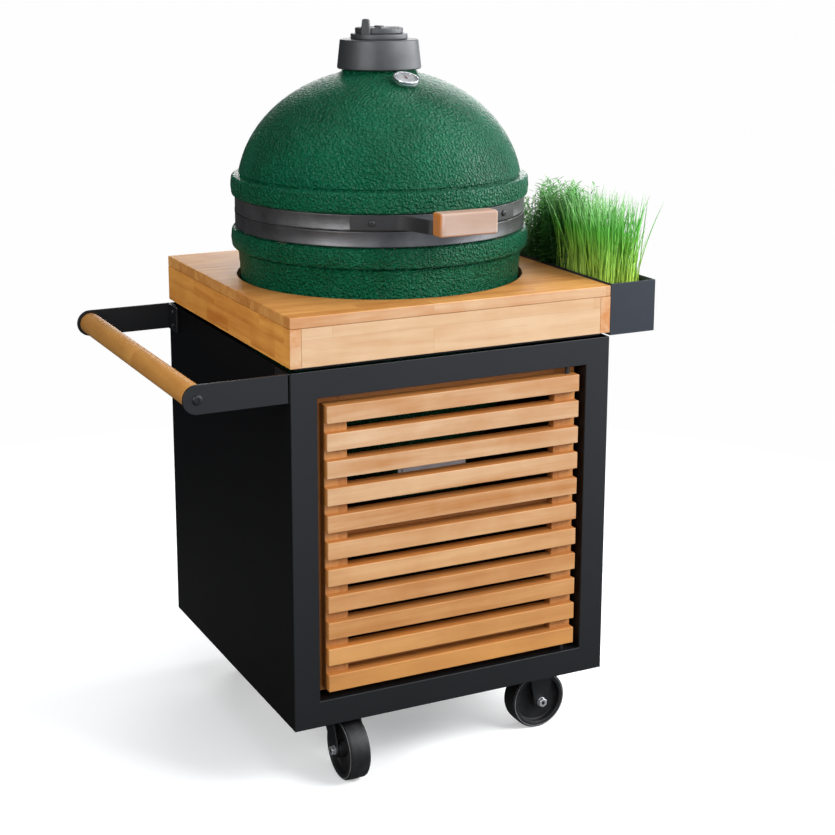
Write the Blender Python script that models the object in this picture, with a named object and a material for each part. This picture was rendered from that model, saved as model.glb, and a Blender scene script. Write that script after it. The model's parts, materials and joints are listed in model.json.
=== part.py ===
"""Ceramic kamado grill in a steel cart with a wooden worktop, a slatted door and a herb planter.

Metres, +Z up. The front faces -Y. Shapes are laid out in the cabinet's own frame (X right of its left
side, Y behind its front face, Z above its bottom), and one empty carries that frame so that the whole
grill stands on Z = 0 with the origin at the middle of its bounding box.
"""

import math

import bmesh
import bpy
from mathutils import Matrix, Vector

# Clearances
GAP = 0.0003                # between pieces that touch
RUNNING = 0.0004            # radial play of a pin in its bore

# Cabinet
CABINET_WIDTH = 0.609
CABINET_DEPTH = 0.612
CABINET_HEIGHT = 0.6276
PANEL = 0.003               # steel sheet
OPENING_BORDER = 0.047      # front face left round the door opening
OPENING_LIP = 0.030         # depth of the folded edge behind the opening
SHELF_BELOW_TOP = 0.2976    # the shelf that carries the ceramic body, from the cabinet's top
SHELF_SETBACK = 0.070
SHELF_FLANGE = 0.025
SHELF_HEIGHT = CABINET_HEIGHT - SHELF_BELOW_TOP

# Wooden top
SPACER_HEIGHT = 0.007       # shadow gap between cabinet and wood
SPACER_INSET = 0.012
SPACER_BAR = 0.025
APRON_HEIGHT = 0.0655
APRON_BOARD = 0.020
SLAB = 0.019
WOOD_EDGE = 0.0015
CUTOUT_RADIUS = 0.2605

# Planter on the right-hand side
PLANTER_WIDTH = 0.0933
PLANTER_TOP_RISE = 0.003    # above the worktop
PLANTER_HEIGHT = 0.093
PLANTER_SHEET = 0.002
SOIL_BELOW_RIM = 0.012
SOIL_DEPTH = 0.050
CHIVES_HEIGHT = 0.175
LEAVES_HEIGHT = 0.120
CHIVES_FROM_FRONT = 0.0367
CHIVES_END = 0.2873
LEAVES_START = 0.306
LEAVES_FROM_BACK = 0.0367
HERB_INSET = 0.0142         # from the soil's sides
HERB_SWELL_ACROSS = 0.30    # how much wider each clump is half way up
HERB_SWELL_ALONG = 0.09

# Push bar on the left-hand side
ARM_HEIGHT = 0.049
ARM_PLATE = 0.005
ARM_FLANGE = 0.055
BAR_OFFSET = 0.1585         # bar axis from the cabinet's left side
BAR_RADIUS = 0.020

# Door
SLAT_COUNT = 11
SLAT_HEIGHT = 0.030
SLAT_PITCH = 0.0474
SLAT_DEPTH = 0.031
SLAT_LENGTH = 0.484
SLAT_PROUD = 0.003          # in front of the cabinet's face
STILE_WIDTH = 0.0423
STILE_RECESS = 0.014        # behind the slats' fronts
BACK_FRAME_OVERLAP = 0.009  # beyond the slats all round
BACK_FRAME_DEPTH = 0.018
BACK_FRAME_BAR = 0.042
DOOR_PIVOT_FROM_END = 0.016
DOOR_PIVOT_BACK = 0.0125    # behind the cabinet's face
DOOR_PIN_RADIUS = 0.004
DOOR_PIN_IN_SLAT = 0.015
DOOR_PIN_PAST_LIP = 0.003

# Ceramic body: lower shell. Its heights, and those of all it carries, go up from the shelf
EGG_STEPS = 40
INNER_STEPS = 32
FOOT_RADIUS = 0.100
WORKTOP_RADIUS = 0.2535     # where the shell passes the worktop
BELOW_BEAD_RADIUS = 0.2575
BEAD_RADIUS = 0.2685
SEAT_RADIUS = 0.2585        # under the steel bands
BASE_WALL = 0.027
BASE_FLOOR = 0.032
BEAD_LOW = SHELF_HEIGHT + 0.441
BEAD_HIGH = SHELF_HEIGHT + 0.475
BEAD_EDGE = 0.004
PARTING = SHELF_HEIGHT + 0.5056            # between the two gaskets
GASKET = 0.0018

# Ceramic body: dome, a slightly flattened ellipse
DOME_CENTRE = SHELF_HEIGHT + 0.5393
DOME_RADIUS = 0.2582
DOME_RISE = 0.2185
DOME_WALL = 0.025
DOME_CROWN_WALL = 0.0225
DOME_BEAD_LOW = SHELF_HEIGHT + 0.534
DOME_BEAD_HIGH = SHELF_HEIGHT + 0.570
NECK_RADIUS = 0.0645
FLUE_RADIUS = 0.045
NECK_TOP = SHELF_HEIGHT + 0.770

# Steel bands and hinge
BAND_HEIGHT = 0.0268
BAND_RADIUS = 0.2630        # outside
HINGE_BACK = 0.292          # pin axis behind the egg's axis
HINGE_PIN_RADIUS = 0.004
HINGE_EYE_RADIUS = 0.010
HINGE_PLATE = 0.003
HINGE_LUG = 0.005
HINGE_BASE_LUG_AT = 0.0575
HINGE_DOME_LUG_AT = 0.0455
HINGE_HALF_ANGLE = 18       # of each curved plate, in degrees
HINGE_PLATE_TRIM = 0.00134  # plate's edge inside the band's edge
HINGE_ROOT = 0.0021         # where a lug starts, outside the band
HINGE_INSET = 0.0024
HINGE_PIN_HEAD = 0.0064

# Handle
GRIP_LENGTH = 0.108
GRIP_HEIGHT = 0.040
GRIP_DEPTH = 0.030
GRIP_FRONT = 0.346          # from the egg's axis
GRIP_ABOVE_PARTING = 0.0209
STRAP = 0.004
STRAP_HEIGHT = 0.024
STRAP_OUTSIDE_GRIP = 0.0032
STRAP_BEHIND_GRIP = 0.016
GRIP_ROUNDING = 0.006

# Thermometer
DIAL_RADIUS = 0.0235
DIAL_DEPTH = 0.011
DIAL_RIM = 0.003
DIAL_FACE = 0.0044          # above the seat
NEEDLE_HUB_RADIUS = 0.0021
NEEDLE_HUB_HEIGHT = 0.0018
NEEDLE_HALF_WIDTH = 0.00075
NEEDLE_TAIL = 0.0061
NEEDLE_REACH = 0.0164
NEEDLE_THICKNESS = 0.0009
LENS_ABOVE_FACE = 0.00385
LENS_TOP = 0.0101
DIAL_FROM_AXIS = 0.105
STEM_RADIUS = 0.0035
STEM_LENGTH = 0.050

# Vent cap
CAP_BOTTOM = SHELF_HEIGHT + 0.757
CAP_TOP = SHELF_HEIGHT + 0.809
CAP_LOW_RADIUS = 0.0755
CAP_HIGH_RADIUS = 0.0705
CAP_WALL = 0.006
CAP_SIDE_WALL = 0.0108
CAP_CHAMFER = 0.0036
CAP_THROAT = 0.038
DISC_RADIUS = 0.051
DISC_HEIGHT = 0.0095
WHEEL_RADIUS = 0.043
WHEEL_HEIGHT = 0.0105
CAP_PIVOT_FROM_AXIS = 0.0575
CAP_PIVOT_ANGLE = math.radians(45)
CAP_STUD_RADIUS = 0.004
CAP_STUD_HEAD = 0.0064
CAP_LUG_RADIUS = 0.0092
CAP_SLOTS = 6
VENT_SLOT_FROM_AXIS = 0.0267
VENT_SLOT_HALF = 0.0095
VENT_SLOT_RADIUS = 0.006
KNOB_RADIUS = 0.0086
KNOB_TOP_RADIUS = 0.0069
KNOB_HEIGHT = 0.003
TAB_ANGLE = math.radians(215)
TAB_WIDTH = 0.018
TAB_HEIGHT = 0.027
TAB_NARROW_HALF = 0.0065    # half its width at the top
TAB_NEAR = 0.0438           # its faces, from the axis
TAB_FAR = 0.0498

# Fire box, fire ring and grates
FIRE_CLEARANCE = 0.008
FIRE_WALL = 0.016
FIRE_BOX_TOP = SHELF_HEIGHT + 0.290
FIRE_FLOOR = 0.028
FIRE_HOLE = 0.060
FIRE_NOTCH_HALF = 0.036
FIRE_NOTCH_HEIGHT = 0.0196
FIRE_RING_SLOPE = 0.06      # outwards for each unit of height
FIRE_RING_TOP = SHELF_HEIGHT + 0.455
GRATE_RADIUS = 0.075
GRATE_THICKNESS = 0.008
GRATE_SLOT_HALF = 0.0555    # half the middle slot's length
GRATE_SLOT_STEP = 0.00675
GRATE_SLOT_PITCH = 0.024
GRID_RADIUS = 0.2155
GRID_THICKNESS = 0.006
GRID_PITCH = 0.024
GRID_SLOT = 0.016
GRID_RIM = 0.014

# Draft opening low in the front of the shell
DRAFT_FACE = 0.212          # flat ceramic face, from the egg's axis
DRAFT_HALF_WIDTH = 0.055
DRAFT_LOW = SHELF_HEIGHT + 0.042
DRAFT_HIGH = SHELF_HEIGHT + 0.082
DRAFT_BORDER = 0.020
DRAFT_PLATE = 0.003
DRAFT_DOOR = 0.002
DRAFT_FRAME_BORDER = 0.012
DRAFT_RAIL = 0.0024
DRAFT_WEB = 0.003
DRAFT_LIP = 0.007
DRAFT_OVERLAP = 0.004
DRAFT_KNOB_HALF = 0.006

# Casters
CASTER_HEIGHT = 0.120
TYRE_RADIUS = 0.055
TYRE_WIDTH = 0.038
TYRE_STEPS = 24
HUB_RADIUS = 0.014
HUB_END_RADIUS = 0.0126
WEB_HALF = 0.0076
RIM_RADIUS = 0.044
SHOULDER_IN = 0.0044
SHOULDER_DOWN = 0.0062
AXLE_RADIUS = 0.006
FORK_INSIDE = 0.0235        # half the distance between the fork's legs
FORK_LEG = 0.0035
CASTER_PLATE = 0.003
CASTER_PLATE_HALF = (0.0468, 0.041)
LEG_TOP_HALF = 0.0252
RACE_RADIUS = 0.0239
RACE_HEIGHT = 0.0018
BRIDGE_HALF = 0.0266
BRIDGE_CLEARANCE = 0.0012   # above the tyre
AXLE_HEAD_RADIUS = 0.0087
AXLE_HEAD = 0.0072
CASTER_FROM_FRONT = 0.067   # fixed wheel's middle, and the swivel's axis
FIXED_FROM_SIDE = 0.101
SWIVEL_FROM_SIDE = 0.113
SWIVEL_TRAIL = 0.036

# Places that follow from the values above
AXIS = Vector((CABINET_WIDTH / 2, CABINET_DEPTH / 2, 0))
WOOD_BOTTOM = CABINET_HEIGHT + SPACER_HEIGHT
SLAB_BOTTOM = WOOD_BOTTOM + APRON_HEIGHT
WORKTOP = SLAB_BOTTOM + SLAB
BASE_BOTTOM = SHELF_HEIGHT + GAP
BASE_RIM = PARTING - GASKET - 2 * GAP
DOME_RIM = PARTING + GASKET + 2 * GAP
DISC_BOTTOM = CAP_TOP + GAP
WHEEL_BOTTOM = DISC_BOTTOM + DISC_HEIGHT + GAP
BAR_HEIGHT = CABINET_HEIGHT - ARM_HEIGHT / 2
PLANTER_TOP = WORKTOP + PLANTER_TOP_RISE
BACK_REACH = HINGE_BACK + HINGE_EYE_RADIUS
LEFT_REACH = BAR_OFFSET + ARM_HEIGHT / 2
RIGHT_REACH = PLANTER_WIDTH + GAP

FINISHES = {
    "green_glaze": ((0.010, 0.130, 0.060), 0.25, 0.0),
    "fire_clay": ((0.420, 0.330, 0.250), 0.85, 0.0),
    "band_steel": ((0.180, 0.180, 0.190), 0.35, 0.9),
    "cap_metal": ((0.240, 0.250, 0.260), 0.40, 0.8),
    "cast_iron": ((0.030, 0.030, 0.030), 0.75, 0.6),
    "stainless": ((0.550, 0.560, 0.570), 0.30, 1.0),
    "felt": ((0.060, 0.060, 0.058), 0.95, 0.0),
    "dark_steel": ((0.020, 0.022, 0.025), 0.45, 0.2),
    "planter_steel": ((0.048, 0.058, 0.077), 0.45, 0.2),
    "wood": ((0.560, 0.330, 0.150), 0.50, 0.0),
    "soil": ((0.020, 0.013, 0.009), 0.95, 0.0),
    "leaf": ((0.080, 0.200, 0.040), 0.60, 0.0),
    "tyre_rubber": ((0.012, 0.012, 0.013), 0.55, 0.0),
    "bright_steel": ((0.600, 0.610, 0.620), 0.25, 1.0),
    "glass": ((0.900, 0.920, 0.930), 0.05, 0.0),
}


# ---------------------------------------------------------------- materials, placing

def finish(name):
    """The Principled material of one finish, made once."""
    if name in bpy.data.materials:
        return bpy.data.materials[name]
    colour, roughness, metallic = FINISHES[name]
    made = bpy.data.materials.new(name)
    made.use_nodes = True
    shader = made.node_tree.nodes["Principled BSDF"]
    shader.inputs["Base Color"].default_value = (*colour, 1.0)
    shader.inputs["Roughness"].default_value = roughness
    shader.inputs["Metallic"].default_value = metallic
    return made


def empty(name, at, parent=None):
    """An empty at a point of the cabinet frame: a joint's axis passes through it."""
    holder = bpy.data.objects.new(name, None)
    bpy.context.collection.objects.link(holder)
    holder.parent = parent
    holder.location = Vector(at)
    return holder


def as_object(bm):
    """A working object with this geometry, at the middle of the scene."""
    mesh = bpy.data.meshes.new("work")
    bmesh.ops.recalc_face_normals(bm, faces=bm.faces)
    bm.to_mesh(mesh)
    bm.free()
    work = bpy.data.objects.new("work", mesh)
    bpy.context.collection.objects.link(work)
    return work


def combine(work, bm, operation):
    """Join a tool to the working object, or cut it away, and drop the tool."""
    tool = as_object(bm)
    modifier = work.modifiers.new("tool", "BOOLEAN")
    modifier.operation = operation
    modifier.solver = "EXACT"
    modifier.object = tool
    with bpy.context.temp_override(object=work, active_object=work, selected_objects=[work]):
        bpy.ops.object.modifier_apply(modifier=modifier.name)
    bpy.data.objects.remove(tool)
    return work


def join(work, *tools):
    for bm in tools:
        combine(work, bm, "UNION")
    return work


def cut(work, *tools):
    for bm in tools:
        combine(work, bm, "DIFFERENCE")
    return work


def place(name, work, finish_name, at=(0, 0, 0), parent=None, turn=(0, 0, 0), smooth=False):
    """Name the working object, give it its finish, and put it at a point relative to its parent."""
    if isinstance(work, bmesh.types.BMesh):
        work = as_object(work)
    work.name = name
    work.data.name = name
    work.data.materials.append(finish(finish_name))
    work.parent = parent
    work.location = Vector(at)
    work.rotation_euler = turn
    if smooth:
        work.data.shade_smooth()
        work.data.set_sharp_from_angle(angle=math.radians(35))
    return work


# ---------------------------------------------------------------- shapes

def box(low, high, bevel=0.0):
    """A block between two corners, with its edges taken off when a bevel is given."""
    bm = bmesh.new()
    bmesh.ops.create_cube(bm, size=1.0)
    low = Vector(low)
    high = Vector(high)
    size = high - low
    bmesh.ops.scale(bm, vec=size, verts=bm.verts)
    bmesh.ops.translate(bm, vec=(low + high) / 2, verts=bm.verts)
    if bevel:
        bmesh.ops.bevel(bm, geom=bm.edges[:], offset=bevel, segments=1, affect="EDGES")
    return bm


def boxes(corner_pairs):
    """Several separate blocks in one tool."""
    bm = bmesh.new()
    for low, high in corner_pairs:
        low = Vector(low)
        high = Vector(high)
        matrix = Matrix.Translation((low + high) / 2) @ Matrix.Diagonal((*(high - low), 1.0))
        bmesh.ops.create_cube(bm, size=1.0, matrix=matrix)
    return bm


def prism(outline, start, end, along="Z"):
    """A flat outline pushed from start to end along one axis; its pairs are the other two axes, in order."""
    order = {"X": lambda a, b, c: (c, a, b), "Y": lambda a, b, c: (a, c, b), "Z": lambda a, b, c: (a, b, c)}
    bm = bmesh.new()
    verts = [bm.verts.new(order[along](a, b, start)) for a, b in outline]
    face = bm.faces.new(verts)
    pushed = bmesh.ops.extrude_face_region(bm, geom=[face])
    moved = [item for item in pushed["geom"] if isinstance(item, bmesh.types.BMVert)]
    bmesh.ops.translate(bm, vec=order[along](0.0, 0.0, end - start), verts=moved)
    return bm


def turned(profile, steps):
    """A profile of (radius, height) pairs spun about Z; one that starts and ends on the axis is a solid."""
    bm = bmesh.new()
    verts = [bm.verts.new((radius, 0.0, height)) for radius, height in profile]
    pairs = list(zip(verts, verts[1:]))
    if profile[0][0] > 0:
        pairs.append((verts[-1], verts[0]))
    edges = [bm.edges.new(pair) for pair in pairs]
    bmesh.ops.spin(bm, geom=verts + edges, cent=(0, 0, 0), axis=(0, 0, 1), angle=2 * math.pi,
                   steps=steps, use_merge=True)
    bmesh.ops.remove_doubles(bm, verts=bm.verts, dist=1e-6)
    bmesh.ops.recalc_face_normals(bm, faces=bm.faces)
    return bm


def rod(radius, start, end, along="Z", steps=16, at=(0, 0, 0)):
    """A round rod along one axis through a point."""
    bm = turned([(0, start), (radius, start), (radius, end), (0, end)], steps)
    quarter = {"X": Matrix.Rotation(math.pi / 2, 4, "Y"), "Y": Matrix.Rotation(-math.pi / 2, 4, "X"),
               "Z": Matrix.Identity(4)}
    bmesh.ops.transform(bm, matrix=Matrix.Translation(at) @ quarter[along], verts=bm.verts)
    return bm


def arc(centre, radius, start, end, count):
    """Points along a circular arc, angles in degrees."""
    points = []
    for index in range(count + 1):
        angle = math.radians(start + (end - start) * index / count)
        points.append((centre[0] + radius * math.cos(angle), centre[1] + radius * math.sin(angle)))
    return points


def bowl(foot, rim, centre, depth, count):
    """(radius, height) points from a flat foot up a quarter ellipse to the rim."""
    points = []
    for index in range(count + 1):
        angle = math.pi / 2 * index / count
        points.append((foot + (rim - foot) * math.sin(angle), centre - depth * math.cos(angle)))
    return points


def cap_curve(radius, rise, low, high, count):
    """(radius, height) points up the dome's ellipse between two heights."""
    first = math.asin((low - DOME_CENTRE) / rise)
    last = math.asin((high - DOME_CENTRE) / rise)
    points = []
    for index in range(count + 1):
        angle = first + (last - first) * index / count
        points.append((radius * math.cos(angle), DOME_CENTRE + rise * math.sin(angle)))
    return points


def hull_with_eye(near, eye, radius, count=8):
    """An outline from two points to a round eye: a lug, seen from the side."""
    ring = arc(eye, radius, 0, 360, count * 2)[:-1]
    points = list(near) + ring
    points.sort()

    def half(ordered):
        chain = []
        for point in ordered:
            while len(chain) > 1:
                ax, ay = chain[-1][0] - chain[-2][0], chain[-1][1] - chain[-2][1]
                bx, by = point[0] - chain[-2][0], point[1] - chain[-2][1]
                if ax * by - ay * bx > 0:
                    break
                chain.pop()
            chain.append(point)
        return chain[:-1]

    return half(points) + half(points[::-1])


def sector(inner, outer, middle, half_width):
    """A ring sector in plan that follows the shell's flats, for plates that lie on the bands."""
    step = 360 / EGG_STEPS
    count = round(half_width / step)
    outside = arc((0, 0), outer, middle - count * step, middle + count * step, 2 * count)
    inside = arc((0, 0), inner, middle + count * step, middle - count * step, 2 * count)
    return outside + inside


# ---------------------------------------------------------------- cabinet and worktop

def cabinet(frame):
    width, depth, height = CABINET_WIDTH, CABINET_DEPTH, CABINET_HEIGHT
    inner = PANEL + GAP
    place("cabinet_left", box((0, inner, 0), (PANEL, depth, height)), "dark_steel", parent=frame)
    place("cabinet_right", box((width - PANEL, inner, 0), (width, depth, height)), "dark_steel", parent=frame)
    back = box((inner, depth - PANEL, 0), (width - inner, depth, height))
    place("cabinet_back", back, "dark_steel", parent=frame)
    bottom = box((inner, inner, 0), (width - inner, depth - inner, PANEL))
    place("cabinet_floor", bottom, "dark_steel", parent=frame)

    left, right = OPENING_BORDER, width - OPENING_BORDER
    low, high = OPENING_BORDER, height - OPENING_BORDER
    face = as_object(box((0, 0, 0), (width, PANEL, height)))
    join(face, box((left - PANEL, PANEL / 2, low - PANEL), (right + PANEL, OPENING_LIP, high + PANEL)))
    cut(face, box((left, -PANEL, low), (right, OPENING_LIP + PANEL, high)))
    pivot = door_pivot()
    cut(face, rod(DOOR_PIN_RADIUS + RUNNING, low - 2 * PANEL, high + 2 * PANEL, steps=12,
                  at=(pivot.x, pivot.y, 0)))
    place("front_frame", face, "dark_steel", parent=frame)

    side = (inner, width - inner)
    shelf = as_object(box((side[0], SHELF_SETBACK, SHELF_HEIGHT - PANEL),
                          (side[1], depth - inner, SHELF_HEIGHT)))
    for y in (SHELF_SETBACK, depth - inner - PANEL):
        join(shelf, box((side[0], y, SHELF_HEIGHT - SHELF_FLANGE),
                        (side[1], y + PANEL, SHELF_HEIGHT - PANEL / 2)))
    place("egg_shelf", shelf, "dark_steel", parent=frame)


def worktop(frame):
    width, depth = CABINET_WIDTH, CABINET_DEPTH
    inset = SPACER_INSET
    ring = as_object(box((inset, inset, CABINET_HEIGHT + GAP),
                         (width - inset, depth - inset, WOOD_BOTTOM - GAP)))
    hole = inset + SPACER_BAR
    cut(ring, box((hole, hole, CABINET_HEIGHT - PANEL), (width - hole, depth - hole, WOOD_BOTTOM + PANEL)))
    place("top_spacer", ring, "dark_steel", parent=frame)

    board = APRON_BOARD
    low, high = WOOD_BOTTOM, SLAB_BOTTOM - GAP
    aprons = {
        "apron_left": ((0, 0), (board, depth)),
        "apron_right": ((width - board, 0), (width, depth)),
        "apron_front": ((board + GAP, 0), (width - board - GAP, board)),
        "apron_back": ((board + GAP, depth - board), (width - board - GAP, depth)),
    }
    for name, (near, far) in aprons.items():
        place(name, box((*near, low), (*far, high), WOOD_EDGE / 2), "wood", parent=frame)

    slab = as_object(box((0, 0, SLAB_BOTTOM), (width, depth, WORKTOP), WOOD_EDGE))
    cut(slab, rod(CUTOUT_RADIUS, SLAB_BOTTOM - SLAB, WORKTOP + SLAB, steps=EGG_STEPS, at=AXIS))
    place("top_slab", slab, "wood", parent=frame)


def bushy(low, high):
    """A clump of plants: a block whose middle swells, more across the planter than along it."""
    bm = box(low, high)
    middle = (low[2] + high[2]) / 2
    upright = [e for e in bm.edges if abs(e.verts[0].co.z - e.verts[1].co.z) > 1e-6]
    bmesh.ops.subdivide_edges(bm, edges=upright, cuts=2)
    centre = Vector(((low[0] + high[0]) / 2, (low[1] + high[1]) / 2, 0))
    for vert in bm.verts:
        near_middle = 1 - abs(vert.co.z - middle) / (high[2] - middle)
        offset = vert.co - centre
        vert.co.x = centre.x + offset.x * (1 + HERB_SWELL_ACROSS * near_middle)
        vert.co.y = centre.y + offset.y * (1 + HERB_SWELL_ALONG * near_middle)
    return bm


def planter(frame):
    left = CABINET_WIDTH + GAP
    right = left + PLANTER_WIDTH
    low = PLANTER_TOP - PLANTER_HEIGHT
    sheet = PLANTER_SHEET
    trough = as_object(box((left, 0, low), (right, CABINET_DEPTH, PLANTER_TOP)))
    cut(trough, box((left + sheet, sheet, low + sheet),
                    (right - sheet, CABINET_DEPTH - sheet, PLANTER_TOP + sheet)))
    place("planter_box", trough, "planter_steel", parent=frame)

    side = sheet + GAP
    soil_top = PLANTER_TOP - SOIL_BELOW_RIM
    place("planter_soil", box((left + side, side, soil_top - SOIL_DEPTH),
                              (right - side, CABINET_DEPTH - side, soil_top)), "soil", parent=frame)
    inset = side + HERB_INSET
    plants = {
        "chives": (CHIVES_FROM_FRONT, CHIVES_END, CHIVES_HEIGHT),
        "leafy_herbs": (LEAVES_START, CABINET_DEPTH - LEAVES_FROM_BACK, LEAVES_HEIGHT),
    }
    for name, (near, far, tall) in plants.items():
        block = bushy((left + inset, near, soil_top + GAP), (right - inset, far, soil_top + GAP + tall))
        place(name, block, "leaf", parent=frame)


def push_bar(frame):
    radius = ARM_HEIGHT / 2
    outline = arc((-BAR_OFFSET, BAR_HEIGHT), radius, 90, 270, 12)
    outline += [(-GAP, BAR_HEIGHT - radius), (-GAP, BAR_HEIGHT + radius)]
    flange = (-GAP - ARM_PLATE, -GAP)
    ends = {"push_arm_front": (0, ARM_PLATE, 0, ARM_FLANGE),
            "push_arm_rear": (CABINET_DEPTH - ARM_PLATE, CABINET_DEPTH,
                              CABINET_DEPTH - ARM_FLANGE, CABINET_DEPTH)}
    for name, (near, far, flange_near, flange_far) in ends.items():
        arm = as_object(prism(outline, near, far, "Y"))
        join(arm, box((flange[0], flange_near, BAR_HEIGHT - radius + GAP),
                      (flange[1], flange_far, BAR_HEIGHT + radius - GAP)))
        place(name, arm, "dark_steel", parent=frame)
    half = CABINET_DEPTH / 2 - ARM_PLATE - GAP
    bar = rod(BAR_RADIUS, -half, half, "Y", 24)
    place("push_bar", bar, "wood", at=(-BAR_OFFSET, CABINET_DEPTH / 2, BAR_HEIGHT), parent=frame, smooth=True)


# ---------------------------------------------------------------- door

def slat_span():
    """The slats' left and right ends, and the stack's bottom and top."""
    left = (CABINET_WIDTH - SLAT_LENGTH) / 2
    stack = SLAT_PITCH * (SLAT_COUNT - 1) + SLAT_HEIGHT
    low = (CABINET_HEIGHT - stack) / 2
    return left, left + SLAT_LENGTH, low, low + stack


def door_pivot():
    left, right, low, high = slat_span()
    return Vector((right - DOOR_PIVOT_FROM_END, DOOR_PIVOT_BACK, low))


def door(frame):
    left, right, low, high = slat_span()
    pivot = door_pivot()
    hinge = empty("door_hinge_axis", pivot, frame)
    front = -SLAT_PROUD
    back = front + SLAT_DEPTH

    lattice = as_object(box((left, front + STILE_RECESS, low), (left + STILE_WIDTH, back, high)))
    join(lattice, box((right - STILE_WIDTH, front + STILE_RECESS, low), (right, back, high)))
    reach = GAP / 2
    for index in range(SLAT_COUNT):
        bottom = low + index * SLAT_PITCH
        below = reach if index == 0 else 0
        above = reach if index == SLAT_COUNT - 1 else 0
        join(lattice, box((left - reach, front, bottom - below),
                          (right + reach, back + reach, bottom + SLAT_HEIGHT + above)))
    for bottom in (low - reach - PANEL, high - DOOR_PIN_IN_SLAT):
        cut(lattice, rod(DOOR_PIN_RADIUS + GAP, bottom, bottom + DOOR_PIN_IN_SLAT + PANEL,
                         steps=12, at=(pivot.x, pivot.y, 0)))
    place("door_slats", lattice, "wood", at=-pivot, parent=hinge)

    over = BACK_FRAME_OVERLAP
    near = back + 2 * GAP
    far = near + BACK_FRAME_DEPTH
    bar = BACK_FRAME_BAR
    ring = as_object(box((left - over, near, low - over), (right + over, far, high + over)))
    middle = (low + high) / 2
    inner = (left - over + bar, right + over - bar)
    for bottom, top in ((low - over + bar, middle - bar / 2), (middle + bar / 2, high + over - bar)):
        cut(ring, box((inner[0], near - PANEL, bottom), (inner[1], far + PANEL, top)))
    place("door_back_frame", ring, "wood", at=-pivot, parent=hinge)

    opening_low, opening_high = OPENING_BORDER, CABINET_HEIGHT - OPENING_BORDER
    seat = DOOR_PIN_IN_SLAT - PANEL
    spans = {"door_pin_lower": (opening_low - PANEL - DOOR_PIN_PAST_LIP, low + seat),
             "door_pin_upper": (high - seat, opening_high + PANEL + DOOR_PIN_PAST_LIP)}
    for name, (start, end) in spans.items():
        place(name, rod(DOOR_PIN_RADIUS, start - pivot.z, end - pivot.z, steps=12), "bright_steel",
              parent=hinge, smooth=True)


# ---------------------------------------------------------------- ceramic lower shell and what it holds

def base_inside(count):
    """The lower shell's inside, from its floor to the worktop's height."""
    return bowl(FOOT_RADIUS - BASE_WALL / 2, WORKTOP_RADIUS - BASE_WALL, WORKTOP,
                WORKTOP - BASE_BOTTOM - BASE_FLOOR, count)


def lower_shell(frame):
    outside = bowl(FOOT_RADIUS, WORKTOP_RADIUS, WORKTOP, WORKTOP - BASE_BOTTOM, 7)
    soft = BEAD_EDGE
    rim_inside = SEAT_RADIUS - BASE_WALL
    bead = [(BELOW_BEAD_RADIUS, BEAD_LOW), (BEAD_RADIUS, BEAD_LOW + soft), (BEAD_RADIUS, BEAD_HIGH - soft),
            (SEAT_RADIUS, BEAD_HIGH)]
    solid = [(0, BASE_BOTTOM)] + outside + bead + [(SEAT_RADIUS, BASE_RIM), (0, BASE_RIM)]
    shell = as_object(turned(solid, EGG_STEPS))
    half = DRAFT_HALF_WIDTH + DRAFT_BORDER
    join(shell, box((-half, -DRAFT_FACE, DRAFT_LOW - DRAFT_BORDER),
                    (half, -FOOT_RADIUS, DRAFT_HIGH + DRAFT_BORDER)))
    hollow = [(0, BASE_BOTTOM + BASE_FLOOR)] + base_inside(6)
    hollow += [(rim_inside, BASE_RIM + PANEL), (0, BASE_RIM + PANEL)]
    cut(shell, turned(hollow, EGG_STEPS))
    cut(shell, box((-DRAFT_HALF_WIDTH, -DRAFT_FACE - BASE_FLOOR, DRAFT_LOW),
                   (DRAFT_HALF_WIDTH, -FOOT_RADIUS, DRAFT_HIGH)))
    place("base_shell", shell, "green_glaze", at=AXIS, parent=frame, smooth=True)

    gasket = [(rim_inside, BASE_RIM + GAP), (SEAT_RADIUS, BASE_RIM + GAP),
              (SEAT_RADIUS, PARTING - GAP), (rim_inside, PARTING - GAP)]
    place("base_gasket", turned(gasket, EGG_STEPS), "felt", at=AXIS, parent=frame, smooth=True)


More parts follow.
